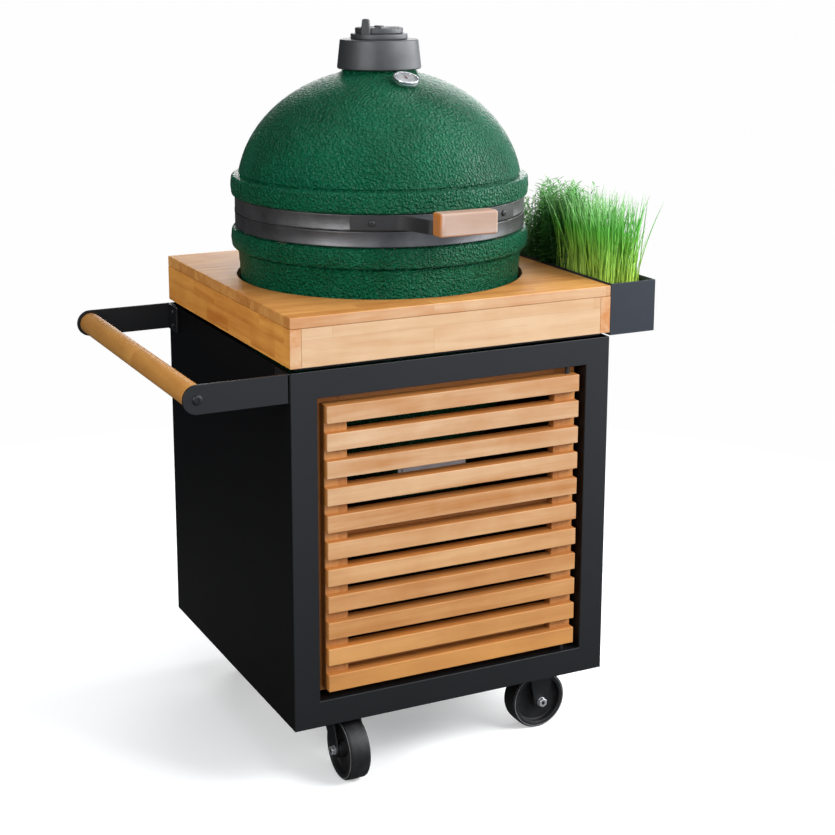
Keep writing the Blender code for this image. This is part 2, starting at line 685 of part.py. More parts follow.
def fire_parts(frame):
    floor = BASE_BOTTOM + BASE_FLOOR + GAP
    outside = [(radius - FIRE_CLEARANCE, height) for radius, height in base_inside(6)[1:]
               if height < FIRE_BOX_TOP]
    foot = FOOT_RADIUS - BASE_WALL / 2 - FIRE_CLEARANCE
    top_outside = outside[-1][0] + FIRE_CLEARANCE / 2
    profile = [(foot, floor)] + outside
    profile += [(top_outside, FIRE_BOX_TOP), (top_outside - FIRE_WALL, FIRE_BOX_TOP)]
    profile += [(radius - FIRE_WALL, height) for radius, height in outside[::-1][:-1]]
    profile += [(outside[0][0] - FIRE_WALL, floor + FIRE_FLOOR), (FIRE_HOLE, floor + FIRE_FLOOR)]
    profile.append((FIRE_HOLE, floor))
    pot = as_object(turned(profile, INNER_STEPS))
    cut(pot, box((-FIRE_NOTCH_HALF, -DRAFT_FACE, floor - FIRE_FLOOR),
                 (FIRE_NOTCH_HALF, 0, floor + FIRE_NOTCH_HEIGHT)))
    place("fire_box", pot, "fire_clay", at=AXIS, parent=frame, smooth=True)

    low = FIRE_BOX_TOP + GAP
    flare = (FIRE_RING_TOP - low) * FIRE_RING_SLOPE
    ring = [(top_outside, low), (top_outside + flare, FIRE_RING_TOP),
            (top_outside + flare - FIRE_WALL, FIRE_RING_TOP),
            (top_outside - FIRE_WALL, low)]
    place("fire_ring", turned(ring, INNER_STEPS), "fire_clay", at=AXIS, parent=frame, smooth=True)

    low = floor + FIRE_FLOOR + GAP
    grate = as_object(rod(GRATE_RADIUS, low, low + GRATE_THICKNESS, steps=INNER_STEPS))
    slots = []
    for index in range(-2, 3):
        reach = GRATE_SLOT_HALF - GRATE_SLOT_STEP * abs(index)
        middle = index * GRATE_SLOT_PITCH
        slots.append(((middle - GRATE_THICKNESS / 2, -reach, low - GAP * 10),
                      (middle + GRATE_THICKNESS / 2, reach, low + GRATE_THICKNESS + GAP * 10)))
    cut(grate, boxes(slots))
    place("charcoal_grate", grate, "cast_iron", at=AXIS, parent=frame)

    low = FIRE_RING_TOP + GAP
    grid = as_object(rod(GRID_RADIUS, low, low + GRID_THICKNESS, steps=INNER_STEPS))
    slots = []
    inside = GRID_RADIUS - GRID_RIM
    count = int(inside / GRID_PITCH)
    for index in range(-count, count + 1):
        middle = index * GRID_PITCH
        far_edge = abs(middle) + GRID_SLOT / 2
        if far_edge < inside:
            reach = math.sqrt(inside ** 2 - far_edge ** 2)
            slots.append(((middle - GRID_SLOT / 2, -reach, low - GRID_THICKNESS),
                          (middle + GRID_SLOT / 2, reach, low + 2 * GRID_THICKNESS)))
    cut(grid, boxes(slots))
    place("cooking_grid", grid, "stainless", at=AXIS, parent=frame)


def draft(frame):
    half = DRAFT_HALF_WIDTH + DRAFT_FRAME_BORDER
    low = DRAFT_LOW - DRAFT_FRAME_BORDER
    high = DRAFT_HIGH + DRAFT_FRAME_BORDER
    back = -DRAFT_FACE - GAP
    front = back - DRAFT_PLATE
    rail_front = front - DRAFT_DOOR - 2 * GAP - DRAFT_RAIL
    plate = as_object(box((-half, front, low), (half, back, high)))
    for edge, inward in ((low, 1), (high, -1)):
        web_far = edge + inward * DRAFT_WEB
        lip_far = edge + inward * DRAFT_LIP
        join(plate, box((-half, rail_front, min(edge, web_far)), (half, front + GAP, max(edge, web_far))))
        join(plate, box((-half, rail_front, min(edge, lip_far)),
                        (half, rail_front + DRAFT_RAIL, max(edge, lip_far))))
    cut(plate, box((-DRAFT_HALF_WIDTH, front - PANEL, DRAFT_LOW),
                   (DRAFT_HALF_WIDTH, back + PANEL, DRAFT_HIGH)))
    place("draft_frame", plate, "stainless", at=AXIS, parent=frame)

    door_half = DRAFT_HALF_WIDTH + DRAFT_OVERLAP
    leaf_back = front - GAP
    leaf = as_object(box((-door_half, leaf_back - DRAFT_DOOR, low + DRAFT_WEB + GAP),
                         (door_half, leaf_back, high - DRAFT_WEB - GAP)))
    knob = DRAFT_KNOB_HALF
    middle = (low + high) / 2
    join(leaf, box((-door_half + knob, leaf_back - DRAFT_DOOR - 2 * knob, middle - knob),
                   (-door_half + 2 * knob, leaf_back - DRAFT_DOOR / 2, middle + knob)))
    place("draft_door", leaf, "stainless", at=AXIS, parent=frame)


# ---------------------------------------------------------------- dome, bands, hinge and handle

def hinge_plate(low, high, lug_at, eye_height):
    """A curved plate on a band with two lugs that reach back to the hinge pin."""
    inner = BAND_RADIUS + GAP
    plate = as_object(prism(sector(inner, inner + HINGE_PLATE, 90, HINGE_HALF_ANGLE), low, high))
    root = math.sqrt(BAND_RADIUS ** 2 - lug_at ** 2) + HINGE_ROOT
    eye = (HINGE_BACK, eye_height)
    outline = hull_with_eye([(root, low + HINGE_INSET), (root, high - HINGE_INSET)], eye, HINGE_EYE_RADIUS)
    for sign in (-1, 1):
        middle = sign * lug_at
        join(plate, prism(outline, middle - HINGE_LUG / 2, middle + HINGE_LUG / 2, "X"))
    reach = lug_at + HINGE_LUG
    cut(plate, rod(HINGE_PIN_RADIUS + RUNNING, -reach, reach, "X", 12, at=(0, *eye)))
    return plate


def bands_and_hinge(frame, dome_axis, to_dome):
    inner = SEAT_RADIUS + GAP
    low_band = (PARTING - GASKET / 2 - BAND_HEIGHT, PARTING - GASKET / 2)
    high_band = (PARTING + GASKET / 2, PARTING + GASKET / 2 + BAND_HEIGHT)
    for name, (low, high), parent, at in (("lower_band", low_band, frame, AXIS),
                                          ("upper_band", high_band, dome_axis, to_dome)):
        ring = [(inner, low), (BAND_RADIUS, low), (BAND_RADIUS, high), (inner, high)]
        place(name, turned(ring, EGG_STEPS), "band_steel", at=at, parent=parent, smooth=True)

    trim = HINGE_PLATE_TRIM
    lower = hinge_plate(low_band[0] + trim, low_band[1] - trim, HINGE_BASE_LUG_AT, PARTING)
    place("hinge_base_bracket", lower, "band_steel", at=AXIS, parent=frame)
    upper = hinge_plate(high_band[0] + 2 * trim, high_band[1] - trim, HINGE_DOME_LUG_AT, PARTING)
    place("hinge_dome_bracket", upper, "band_steel", at=to_dome, parent=dome_axis)

    half = HINGE_BASE_LUG_AT + HINGE_LUG / 2 + GAP
    head = HINGE_LUG / 2
    wide = HINGE_PIN_HEAD
    profile = [(0, -half - head), (wide, -half - head), (wide, -half), (HINGE_PIN_RADIUS, -half),
               (HINGE_PIN_RADIUS, half), (wide, half), (wide, half + head), (0, half + head)]
    place("hinge_pin", turned(profile, 12), "bright_steel", at=AXIS + Vector((0, HINGE_BACK, PARTING)),
          parent=frame, turn=(0, math.pi / 2, 0), smooth=True)


def handle(dome_axis, to_dome):
    middle = PARTING + GRIP_ABOVE_PARTING
    back = -(GRIP_FRONT - GRIP_DEPTH)
    grip = box((-GRIP_LENGTH / 2, -GRIP_FRONT, middle - GRIP_HEIGHT / 2),
               (GRIP_LENGTH / 2, back - GAP, middle + GRIP_HEIGHT / 2), GRIP_ROUNDING)
    place("handle_grip", grip, "wood", at=to_dome, parent=dome_axis)

    step = math.radians(360 / EGG_STEPS)
    inner = BAND_RADIUS + GAP
    half = [(-inner * math.sin(step * count), -inner * math.cos(step * count)) for count in (4, 3, 2)]
    half.append((-GRIP_LENGTH / 2 - STRAP_OUTSIDE_GRIP, back + STRAP_BEHIND_GRIP))
    half.append((-GRIP_LENGTH / 2 + STRAP, back + STRAP))
    path = half + [(-x, y) for x, y in half[::-1]]
    outer = []
    for index, point in enumerate(path):
        before = Vector(path[max(index - 1, 0)])
        after = Vector(path[min(index + 1, len(path) - 1)])
        direction = (after - before).normalized()
        outer.append((point[0] + STRAP * direction.y, point[1] - STRAP * direction.x))
    strap_middle = PARTING + GASKET / 2 + BAND_HEIGHT / 2
    strap = prism(path + outer[::-1], strap_middle - STRAP_HEIGHT / 2, strap_middle + STRAP_HEIGHT / 2)
    place("handle_bracket", strap, "band_steel", at=to_dome, parent=dome_axis)


def dome(frame):
    hinge = AXIS + Vector((0, HINGE_BACK, PARTING))
    dome_axis = empty("dome_hinge_axis", hinge, frame)
    to_dome = AXIS - hinge

    soft = BEAD_EDGE
    rim_inside = SEAT_RADIUS - BASE_WALL
    shoulder = DOME_BEAD_HIGH + soft
    neck_low = DOME_CENTRE + DOME_RISE * math.sqrt(1 - (NECK_RADIUS / DOME_RADIUS) ** 2)
    inside_rise = DOME_RISE - DOME_CROWN_WALL
    flue_low = DOME_CENTRE + inside_rise * math.sqrt(1 - (FLUE_RADIUS / rim_inside) ** 2)
    profile = [(rim_inside, DOME_RIM), (SEAT_RADIUS, DOME_RIM), (SEAT_RADIUS, DOME_BEAD_LOW),
               (BEAD_RADIUS, DOME_BEAD_LOW + soft), (BEAD_RADIUS, DOME_BEAD_HIGH - soft)]
    profile += cap_curve(DOME_RADIUS, DOME_RISE, shoulder, neck_low, 8)
    profile += [(NECK_RADIUS, NECK_TOP), (FLUE_RADIUS, NECK_TOP)]
    profile += cap_curve(rim_inside, inside_rise, DOME_CENTRE, flue_low, 6)[::-1]
    shell = as_object(turned(profile, EGG_STEPS))

    around, height, tilt = dial_seat()
    hole = rod(STEM_RADIUS + RUNNING, -STEM_LENGTH * 1.2, STEM_LENGTH, steps=12)
    bmesh.ops.transform(hole, matrix=Matrix.Translation((0, -around, height)) @ Matrix.Rotation(tilt, 4, "X"),
                        verts=hole.verts)
    cut(shell, hole)
    place("dome_shell", shell, "green_glaze", at=to_dome, parent=dome_axis, smooth=True)

    gasket = [(rim_inside, PARTING + GAP), (SEAT_RADIUS, PARTING + GAP),
              (SEAT_RADIUS, DOME_RIM - GAP), (rim_inside, DOME_RIM - GAP)]
    place("dome_gasket", turned(gasket, EGG_STEPS), "felt", at=to_dome, parent=dome_axis, smooth=True)

    bands_and_hinge(frame, dome_axis, to_dome)
    handle(dome_axis, to_dome)
    thermometer(dome_axis, to_dome)
    vent_cap(dome_axis, to_dome)


# ---------------------------------------------------------------- thermometer and vent cap

def dial_seat():
    """Where the dial's back meets the dome: distance from the axis, height, and tilt from upright."""
    height = DOME_CENTRE + DOME_RISE * math.sqrt(1 - (DIAL_FROM_AXIS / DOME_RADIUS) ** 2)
    outward = DIAL_FROM_AXIS / DOME_RADIUS ** 2
    upward = (height - DOME_CENTRE) / DOME_RISE ** 2
    return DIAL_FROM_AXIS, height, math.atan2(outward, upward)


def thermometer(dome_axis, to_dome):
    around, height, tilt = dial_seat()
    seat = to_dome + Vector((0, -around, height)) + Vector((0, -math.sin(tilt), math.cos(tilt))) * GAP
    turn = (tilt, 0, 0)
    inside = DIAL_RADIUS - DIAL_RIM
    face = DIAL_FACE
    case = [(0, -STEM_LENGTH), (STEM_RADIUS, -STEM_LENGTH), (STEM_RADIUS, 0), (DIAL_RADIUS, 0),
            (DIAL_RADIUS, DIAL_DEPTH), (inside, DIAL_DEPTH), (inside, face), (0, face)]
    place("thermometer_case", turned(case, 24), "bright_steel", at=seat, parent=dome_axis, turn=turn,
          smooth=True)

    needle_axis = empty("needle_axis", seat, dome_axis)
    needle_axis.rotation_euler = turn
    low = face + GAP
    needle = as_object(rod(NEEDLE_HUB_RADIUS, low, low + NEEDLE_HUB_HEIGHT, steps=12))
    join(needle, box((-NEEDLE_HALF_WIDTH, -NEEDLE_TAIL, low + GAP),
                     (NEEDLE_HALF_WIDTH, NEEDLE_REACH, low + GAP + NEEDLE_THICKNESS)))
    place("thermometer_needle", needle, "dark_steel", parent=needle_axis)

    place("thermometer_lens", rod(inside - GAP, face + LENS_ABOVE_FACE, LENS_TOP, steps=24), "glass",
          at=seat, parent=dome_axis, turn=turn, smooth=True)


def slot_tools(low, high):
    """The ring of oval vent slots, as one tool."""
    bm = bmesh.new()
    oval = arc((VENT_SLOT_HALF, 0), VENT_SLOT_RADIUS, -90, 90, 4)
    oval += arc((-VENT_SLOT_HALF, 0), VENT_SLOT_RADIUS, 90, 270, 4)
    for index in range(CAP_SLOTS):
        angle = 2 * math.pi * index / CAP_SLOTS
        turn = Matrix.Rotation(angle, 4, "Z") @ Matrix.Translation((VENT_SLOT_FROM_AXIS, 0, 0))
        verts = [bm.verts.new(turn @ Vector((x, y, low))) for x, y in oval]
        face = bm.faces.new(verts)
        pushed = bmesh.ops.extrude_face_region(bm, geom=[face])
        moved = [item for item in pushed["geom"] if isinstance(item, bmesh.types.BMVert)]
        bmesh.ops.translate(bm, vec=(0, 0, high - low), verts=moved)
    return bm


def vent_cap(dome_axis, to_dome):
    bore = NECK_RADIUS + 2 * GAP
    shelf = NECK_TOP + GAP
    inside = CAP_HIGH_RADIUS - CAP_SIDE_WALL
    chamfer = CAP_CHAMFER
    collar = [(bore, CAP_BOTTOM), (CAP_LOW_RADIUS - chamfer, CAP_BOTTOM),
              (CAP_LOW_RADIUS, CAP_BOTTOM + chamfer),
              (CAP_HIGH_RADIUS, CAP_TOP - chamfer / 2), (CAP_HIGH_RADIUS - chamfer / 2, CAP_TOP),
              (CAP_THROAT, CAP_TOP), (CAP_THROAT, CAP_TOP - CAP_WALL), (inside, CAP_TOP - CAP_WALL),
              (inside, shelf), (bore, shelf)]
    body = as_object(turned(collar, INNER_STEPS))
    pivot = Vector((math.cos(CAP_PIVOT_ANGLE), math.sin(CAP_PIVOT_ANGLE), 0)) * CAP_PIVOT_FROM_AXIS
    stud_top = DISC_BOTTOM + DISC_HEIGHT + GAP
    root, crown = CAP_TOP - CAP_WALL / 2, stud_top + CAP_STUD_RADIUS / 2
    stud = turned([(0, root), (CAP_STUD_RADIUS, root), (CAP_STUD_RADIUS, stud_top), (CAP_STUD_HEAD, stud_top),
                   (CAP_STUD_HEAD, crown), (0, crown)], 12)
    bmesh.ops.translate(stud, vec=pivot, verts=stud.verts)
    join(body, stud)
    place("cap_collar", body, "cap_metal", at=to_dome, parent=dome_axis, smooth=True)

    swing = empty("cap_swing_axis", to_dome + pivot, dome_axis)
    top = DISC_BOTTOM + DISC_HEIGHT
    disc = as_object(rod(DISC_RADIUS, DISC_BOTTOM, top, steps=INNER_STEPS))
    join(disc, rod(CAP_LUG_RADIUS, DISC_BOTTOM + GAP / 3, top - GAP / 3, steps=16, at=pivot))
    tab_low, wide = top - 2 * PANEL, TAB_WIDTH / 2
    outline = [(-wide, tab_low), (wide, tab_low), (TAB_NARROW_HALF, top + TAB_HEIGHT),
               (-TAB_NARROW_HALF, top + TAB_HEIGHT)]
    tab = prism(outline, TAB_NEAR, TAB_FAR, "X")
    bmesh.ops.rotate(tab, cent=(0, 0, 0), matrix=Matrix.Rotation(TAB_ANGLE, 3, "Z"), verts=tab.verts)
    join(disc, tab)
    cut(disc, rod(CAP_STUD_RADIUS + RUNNING, DISC_BOTTOM - PANEL, top + PANEL, steps=12, at=pivot))
    cut(disc, slot_tools(DISC_BOTTOM - PANEL, top + PANEL))
    place("cap_disc", disc, "cap_metal", at=-pivot, parent=swing, smooth=True)

    high = WHEEL_BOTTOM + WHEEL_HEIGHT
    wheel = as_object(turned([(0, WHEEL_BOTTOM), (WHEEL_RADIUS, WHEEL_BOTTOM),
                              (WHEEL_RADIUS, high - chamfer / 2),
                              (WHEEL_RADIUS - chamfer / 2, high), (KNOB_RADIUS, high),
                              (KNOB_TOP_RADIUS, high + KNOB_HEIGHT), (0, high + KNOB_HEIGHT)], INNER_STEPS))
    cut(wheel, slot_tools(WHEEL_BOTTOM - PANEL, high + PANEL))
    place("vent_wheel", wheel, "cap_metal", at=-pivot, parent=swing, smooth=True)


# ---------------------------------------------------------------- casters

def caster_wheel():
    """A tyre with a recessed web and a hub, spun about Z."""
    half = TYRE_WIDTH / 2
    hub = FORK_INSIDE - 3 * GAP
    side = [(AXLE_RADIUS + RUNNING, hub), (HUB_END_RADIUS, hub), (HUB_RADIUS, WEB_HALF),
            (RIM_RADIUS, WEB_HALF), (RIM_RADIUS, half), (TYRE_RADIUS - SHOULDER_IN, half),
            (TYRE_RADIUS, half - SHOULDER_DOWN)]
    return turned(side + [(radius, -height) for radius, height in side[::-1]], TYRE_STEPS)


def fork_legs(axle_height, top, offset):
    """Two tapered legs in the X-Z plane, each side of the wheel, with the axle's hole."""
    outline = hull_with_eye([(offset - LEG_TOP_HALF, top), (offset + LEG_TOP_HALF, top)],
                            (0, axle_height), HUB_RADIUS)
    legs = []
    for sign in (-1, 1):
        near, far = sorted((sign * FORK_INSIDE, sign * (FORK_INSIDE + FORK_LEG)))
        legs.append(prism(outline, near, far, "Y"))
    return legs


def caster(frame, name, at, heading, swivels):
    """One caster under a point of the cabinet's bottom; heading turns its rolling direction from +X."""
    axle_height = TYRE_RADIUS - CASTER_HEIGHT
    base = empty(f"{name}_mount", at, frame)
    base.rotation_euler = (0, 0, heading)
    half_long, half_wide = CASTER_PLATE_HALF
    plate_low = -GAP - CASTER_PLATE
    offset = -SWIVEL_TRAIL if swivels else 0.0
    if swivels:
        place(f"{name}_plate", box((-half_long, -half_wide, plate_low), (half_long, half_wide, -GAP)),
              "dark_steel", parent=base)
        race_top = plate_low - GAP
        bridge_top = race_top - RACE_HEIGHT
        low = axle_height + TYRE_RADIUS + BRIDGE_CLEARANCE
        side = FORK_INSIDE + FORK_LEG
        work = as_object(box((-BRIDGE_HALF, -side, low), (BRIDGE_HALF, side, bridge_top)))
        join(work, rod(RACE_RADIUS, (low + bridge_top) / 2, race_top, steps=16))
        leg_top = bridge_top - GAP
        carrier = empty(f"{name}_swivel_axis", (0, 0, 0), base)
        part = "fork"
    else:
        work = as_object(box((-half_long, -half_wide, plate_low), (half_long, half_wide, -GAP)))
        leg_top = plate_low + CASTER_PLATE / 2
        carrier = base
        part = "bracket"
    for leg in fork_legs(axle_height, leg_top, -offset):
        bmesh.ops.translate(leg, vec=(offset, 0, 0), verts=leg.verts)
        join(work, leg)
    reach = FORK_INSIDE + 2 * FORK_LEG
    cut(work, rod(AXLE_RADIUS + GAP, -reach, reach, "Y", 12, at=(offset, 0, axle_height)))
    place(f"{name}_{part}", work, "dark_steel", parent=carrier)

    axle_axis = empty(f"{name}_axle_axis", (offset, 0, axle_height), carrier)
    across = (-math.pi / 2, 0, 0)
    half = FORK_INSIDE + FORK_LEG + GAP
    head, end = AXLE_HEAD_RADIUS, half + AXLE_HEAD
    profile = [(0, -end), (head, -end), (head, -half), (AXLE_RADIUS, -half),
               (AXLE_RADIUS, half), (head, half), (head, end), (0, end)]
    place(f"{name}_axle", turned(profile, 12), "bright_steel", parent=axle_axis, turn=across, smooth=True)
    place(f"{name}_wheel", caster_wheel(), "tyre_rubber", parent=axle_axis, turn=across, smooth=True)


def casters(frame):
    rows = {"front": CASTER_FROM_FRONT, "rear": CABINET_DEPTH - CASTER_FROM_FRONT}
    for row, y in rows.items():
        caster(frame, f"fixed_{row}", (CABINET_WIDTH - FIXED_FROM_SIDE, y, 0), 0.0, False)
        caster(frame, f"swivel_{row}", (SWIVEL_FROM_SIDE, y, 0), math.pi / 2, True)


# ---------------------------------------------------------------- the whole grill

def build():
    for old in list(bpy.data.objects):
        bpy.data.objects.remove(old)
    middle_x = (CABINET_WIDTH + RIGHT_REACH - LEFT_REACH) / 2
    front_y = AXIS.y - GRIP_FRONT
    back_y = max(AXIS.y + BACK_REACH, CABINET_DEPTH)
    frame = empty("cabinet_frame", (-middle_x, -(front_y + back_y) / 2, CASTER_HEIGHT))
    cabinet(frame)
    worktop(frame)
    planter(frame)
    push_bar(frame)
    door(frame)
    lower_shell(frame)
    fire_parts(frame)
    draft(frame)
    dome(frame)
    casters(frame)


build()
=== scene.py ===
import json
import math
import random

import bpy
from mathutils import Matrix, Vector


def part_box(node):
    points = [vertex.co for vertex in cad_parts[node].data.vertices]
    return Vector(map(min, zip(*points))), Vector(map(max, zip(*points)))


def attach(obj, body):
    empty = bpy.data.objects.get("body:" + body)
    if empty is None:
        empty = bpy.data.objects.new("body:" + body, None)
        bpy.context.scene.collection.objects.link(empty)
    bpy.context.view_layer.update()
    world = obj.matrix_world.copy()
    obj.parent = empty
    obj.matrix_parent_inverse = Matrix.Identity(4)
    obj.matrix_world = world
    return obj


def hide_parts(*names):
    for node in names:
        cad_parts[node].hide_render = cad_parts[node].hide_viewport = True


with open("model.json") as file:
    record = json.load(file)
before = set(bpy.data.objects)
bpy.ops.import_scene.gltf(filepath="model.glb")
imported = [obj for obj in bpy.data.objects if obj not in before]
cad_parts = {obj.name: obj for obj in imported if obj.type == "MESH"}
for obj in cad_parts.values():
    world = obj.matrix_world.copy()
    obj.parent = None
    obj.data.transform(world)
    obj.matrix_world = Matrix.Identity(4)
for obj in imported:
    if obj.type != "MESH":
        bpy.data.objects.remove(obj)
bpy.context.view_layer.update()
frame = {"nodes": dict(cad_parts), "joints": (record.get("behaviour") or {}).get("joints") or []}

touching = 0.0003    # left between pieces that touch
joints = {joint["name"]: joint for joint in frame["joints"]}
print("frame loaded:", len(frame["nodes"]), "nodes")


def alone(piece):
    bpy.ops.object.select_all(action="DESELECT")
    piece.select_set(True)
    bpy.context.view_layer.objects.active = piece


def span(node):
    low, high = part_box(node)
    return low, high, (low + high) / 2


def arc(centre, radius, start, end, count):
    turn = [math.radians(start + (end - start) * step / count) for step in range(count + 1)]
    return [(centre[0] + radius * math.cos(a), centre[1] + radius * math.sin(a)) for a in turn]


def curved(start, pull, end, count):
    # a quadratic curve from start to end, pulled towards one point
    points = []
    for step in range(1, count + 1):
        t = step / count
        points.append(tuple((1 - t) ** 2 * a + 2 * t * (1 - t) * b + t * t * c
                            for a, b, c in zip(start, pull, end)))
    return points


def dense(line, spacing):
    # the same line with no stretch longer than the spacing
    points = [line[0]]
    for before, after in zip(line, line[1:]):
        count = max(1, math.ceil(math.dist(before, after) / spacing))
        points += [tuple(a + (b - a) * step / count for a, b in zip(before, after))
                   for step in range(1, count + 1)]
    return points


def drawn(name, line, flat):
    # one point, extruded along a line in the plane of two axes; it stays in edit mode
    bpy.ops.object.select_all(action="DESELECT")
    bpy.ops.mesh.primitive_plane_add(size=0.01)
    piece = bpy.context.object
    piece.name = name
    bpy.ops.object.mode_set(mode="EDIT")
    bpy.ops.mesh.select_mode(type="VERT")
    bpy.ops.mesh.merge(type="CENTER")
    here = (0.0, 0.0)
    for step, point in enumerate(line):
        move = [0.0, 0.0, 0.0]
        move["XYZ".index(flat[0])] = point[0] - here[0]
        move["XYZ".index(flat[1])] = point[1] - here[1]
        if step:
            bpy.ops.mesh.extrude_region_move(TRANSFORM_OT_translate={"value": move})
        else:
            bpy.ops.transform.translate(value=move)
        here = point
    bpy.ops.mesh.select_all(action="SELECT")
    return piece


def tidied():
    bpy.ops.mesh.select_all(action="SELECT")
    bpy.ops.mesh.remove_doubles(threshold=0.00001)
    bpy.ops.mesh.normals_make_consistent(inside=False)
    bpy.ops.object.mode_set(mode="OBJECT")


def placed(piece, matrix):
    alone(piece)
    piece.matrix_world = matrix @ piece.matrix_world
    bpy.ops.object.transform_apply(location=True, rotation=True, scale=True)
    return piece


def smooth(piece, angle=32):
    alone(piece)
    bpy.ops.object.shade_smooth_by_angle(angle=math.radians(angle))
    return piece


def modified(piece, kind, **settings):
    # one modifier, added, set and applied
    alone(piece)
    bpy.ops.object.modifier_add(type=kind)
    modifier = piece.modifiers[-1]
    for key, value in settings.items():
        setattr(modifier, key, value)
    bpy.ops.object.modifier_apply(modifier=modifier.name)
    return piece


def facesPicked(piece, wanted):
    # leaves the piece in edit mode, with only the faces whose normals are wanted selected
    alone(piece)
    bpy.ops.object.mode_set(mode="EDIT")
    bpy.ops.mesh.select_mode(type="FACE")
    bpy.ops.mesh.select_all(action="DESELECT")
    bpy.ops.object.mode_set(mode="OBJECT")
    for face in piece.data.polygons:
        face.select = wanted(face.normal)
    bpy.ops.object.mode_set(mode="EDIT")


def turned(name, outline, steps, ring=False, at=(0, 0, 0)):
    # an outline of (radius, height) spun about Z; a ring's outline closes on itself
    piece = drawn(name, outline + outline[:1] if ring else outline, "XZ")
    bpy.ops.mesh.spin(steps=steps, angle=2 * math.pi, center=(0, 0, 0), axis=(0, 0, 1))
    tidied()
    placed(piece, Matrix.Translation(at))
    return smooth(piece)


def eased(piece, width, segments=2, angle=30):
    # rounds the edges and keeps the flat faces flat
    modified(piece, "BEVEL", width=width, segments=segments, limit_method="ANGLE",
             angle_limit=math.radians(angle))
    return modified(smooth(piece, 60), "WEIGHTED_NORMAL")


def block(name, low, high, edge=0.0, segments=2):
    bpy.ops.object.select_all(action="DESELECT")
    size = [b - a for a, b in zip(low, high)]
    bpy.ops.mesh.primitive_cube_add(size=1, location=[(a + b) / 2 for a, b in zip(low, high)], scale=size)
    piece = bpy.context.object
    piece.name = name
    bpy.ops.object.transform_apply(location=True, rotation=True, scale=True)
    return eased(piece, edge, segments) if edge else piece


def pressed(name, outline, low, high, flat="XZ", edge=0.0, segments=2):
    # an outline, filled and extruded along the third axis from low to high
    piece = drawn(name, outline, flat)
    bpy.ops.mesh.edge_face_add()
    third = ({0, 1, 2} - {"XYZ".index(flat[0]), "XYZ".index(flat[1])}).pop()
    along = [0.0, 0.0, 0.0]
    along[third] = low
    bpy.ops.transform.translate(value=along)
    along[third] = high - low
    bpy.ops.mesh.extrude_region_move(TRANSFORM_OT_translate={"value": along})
    tidied()
    return eased(piece, edge, segments) if edge else piece


def rod(name, start, end, radius, edge=0.0, steps=32):
    # a round bar between two points, with its ends rounded over by edge
    start, end = Vector(start), Vector(end)
    length = (end - start).length
    edge = edge or radius * 0.08
    outline = [(0, 0)] + arc((radius - edge, edge), edge, -90, 0, 3)
    outline += arc((radius - edge, length - edge), edge, 0, 90, 3) + [(0, length)]
    piece = turned(name, outline, steps)
    along = (end - start).to_track_quat("Z", "Y").to_matrix().to_4x4()
    return placed(piece, Matrix.Translation(start) @ along)


def boolean(piece, tool, operation="DIFFERENCE"):
    modified(piece, "BOOLEAN", operation=operation, object=tool)
    bpy.data.objects.remove(tool)
    return piece


def copied(piece, name, matrix=None):
    twin = piece.copy()
    twin.data = piece.data.copy()
    twin.name = name
    bpy.context.scene.collection.objects.link(twin)
    if matrix:
        twin.data.transform(matrix)
    return twin


def joined(name, pieces):
    alone(pieces[0])
    for piece in pieces:
        piece.select_set(True)
    bpy.ops.object.join()
    whole = bpy.context.object
    whole.name = name
    return whole


def settled(piece, finish, body, slot, *nodes):
    piece.data.materials.clear()
    piece.data.materials.append(finish)
    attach(piece, body)
    if nodes:
        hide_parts(*nodes)
    return piece


class Wire:
    # a socket that can be used in sums
    def __init__(self, recipe, socket):
        self.recipe, self.socket = recipe, socket

    def sum(self, operation, first, second):
        return self.recipe.add("ShaderNodeMath", {"operation": operation}, {0: first, 1: second})

    def __add__(self, other):
        return self.sum("ADD", self, other)

    def __sub__(self, other):
        return self.sum("SUBTRACT", self, other)

    def __rsub__(self, other):
        return self.sum("SUBTRACT", other, self)

    def __mul__(self, other):
        return self.sum("MULTIPLY", self, other)

    def __truediv__(self, other):
        return self.sum("DIVIDE", self, other)

    __radd__ = __add__
    __rmul__ = __mul__


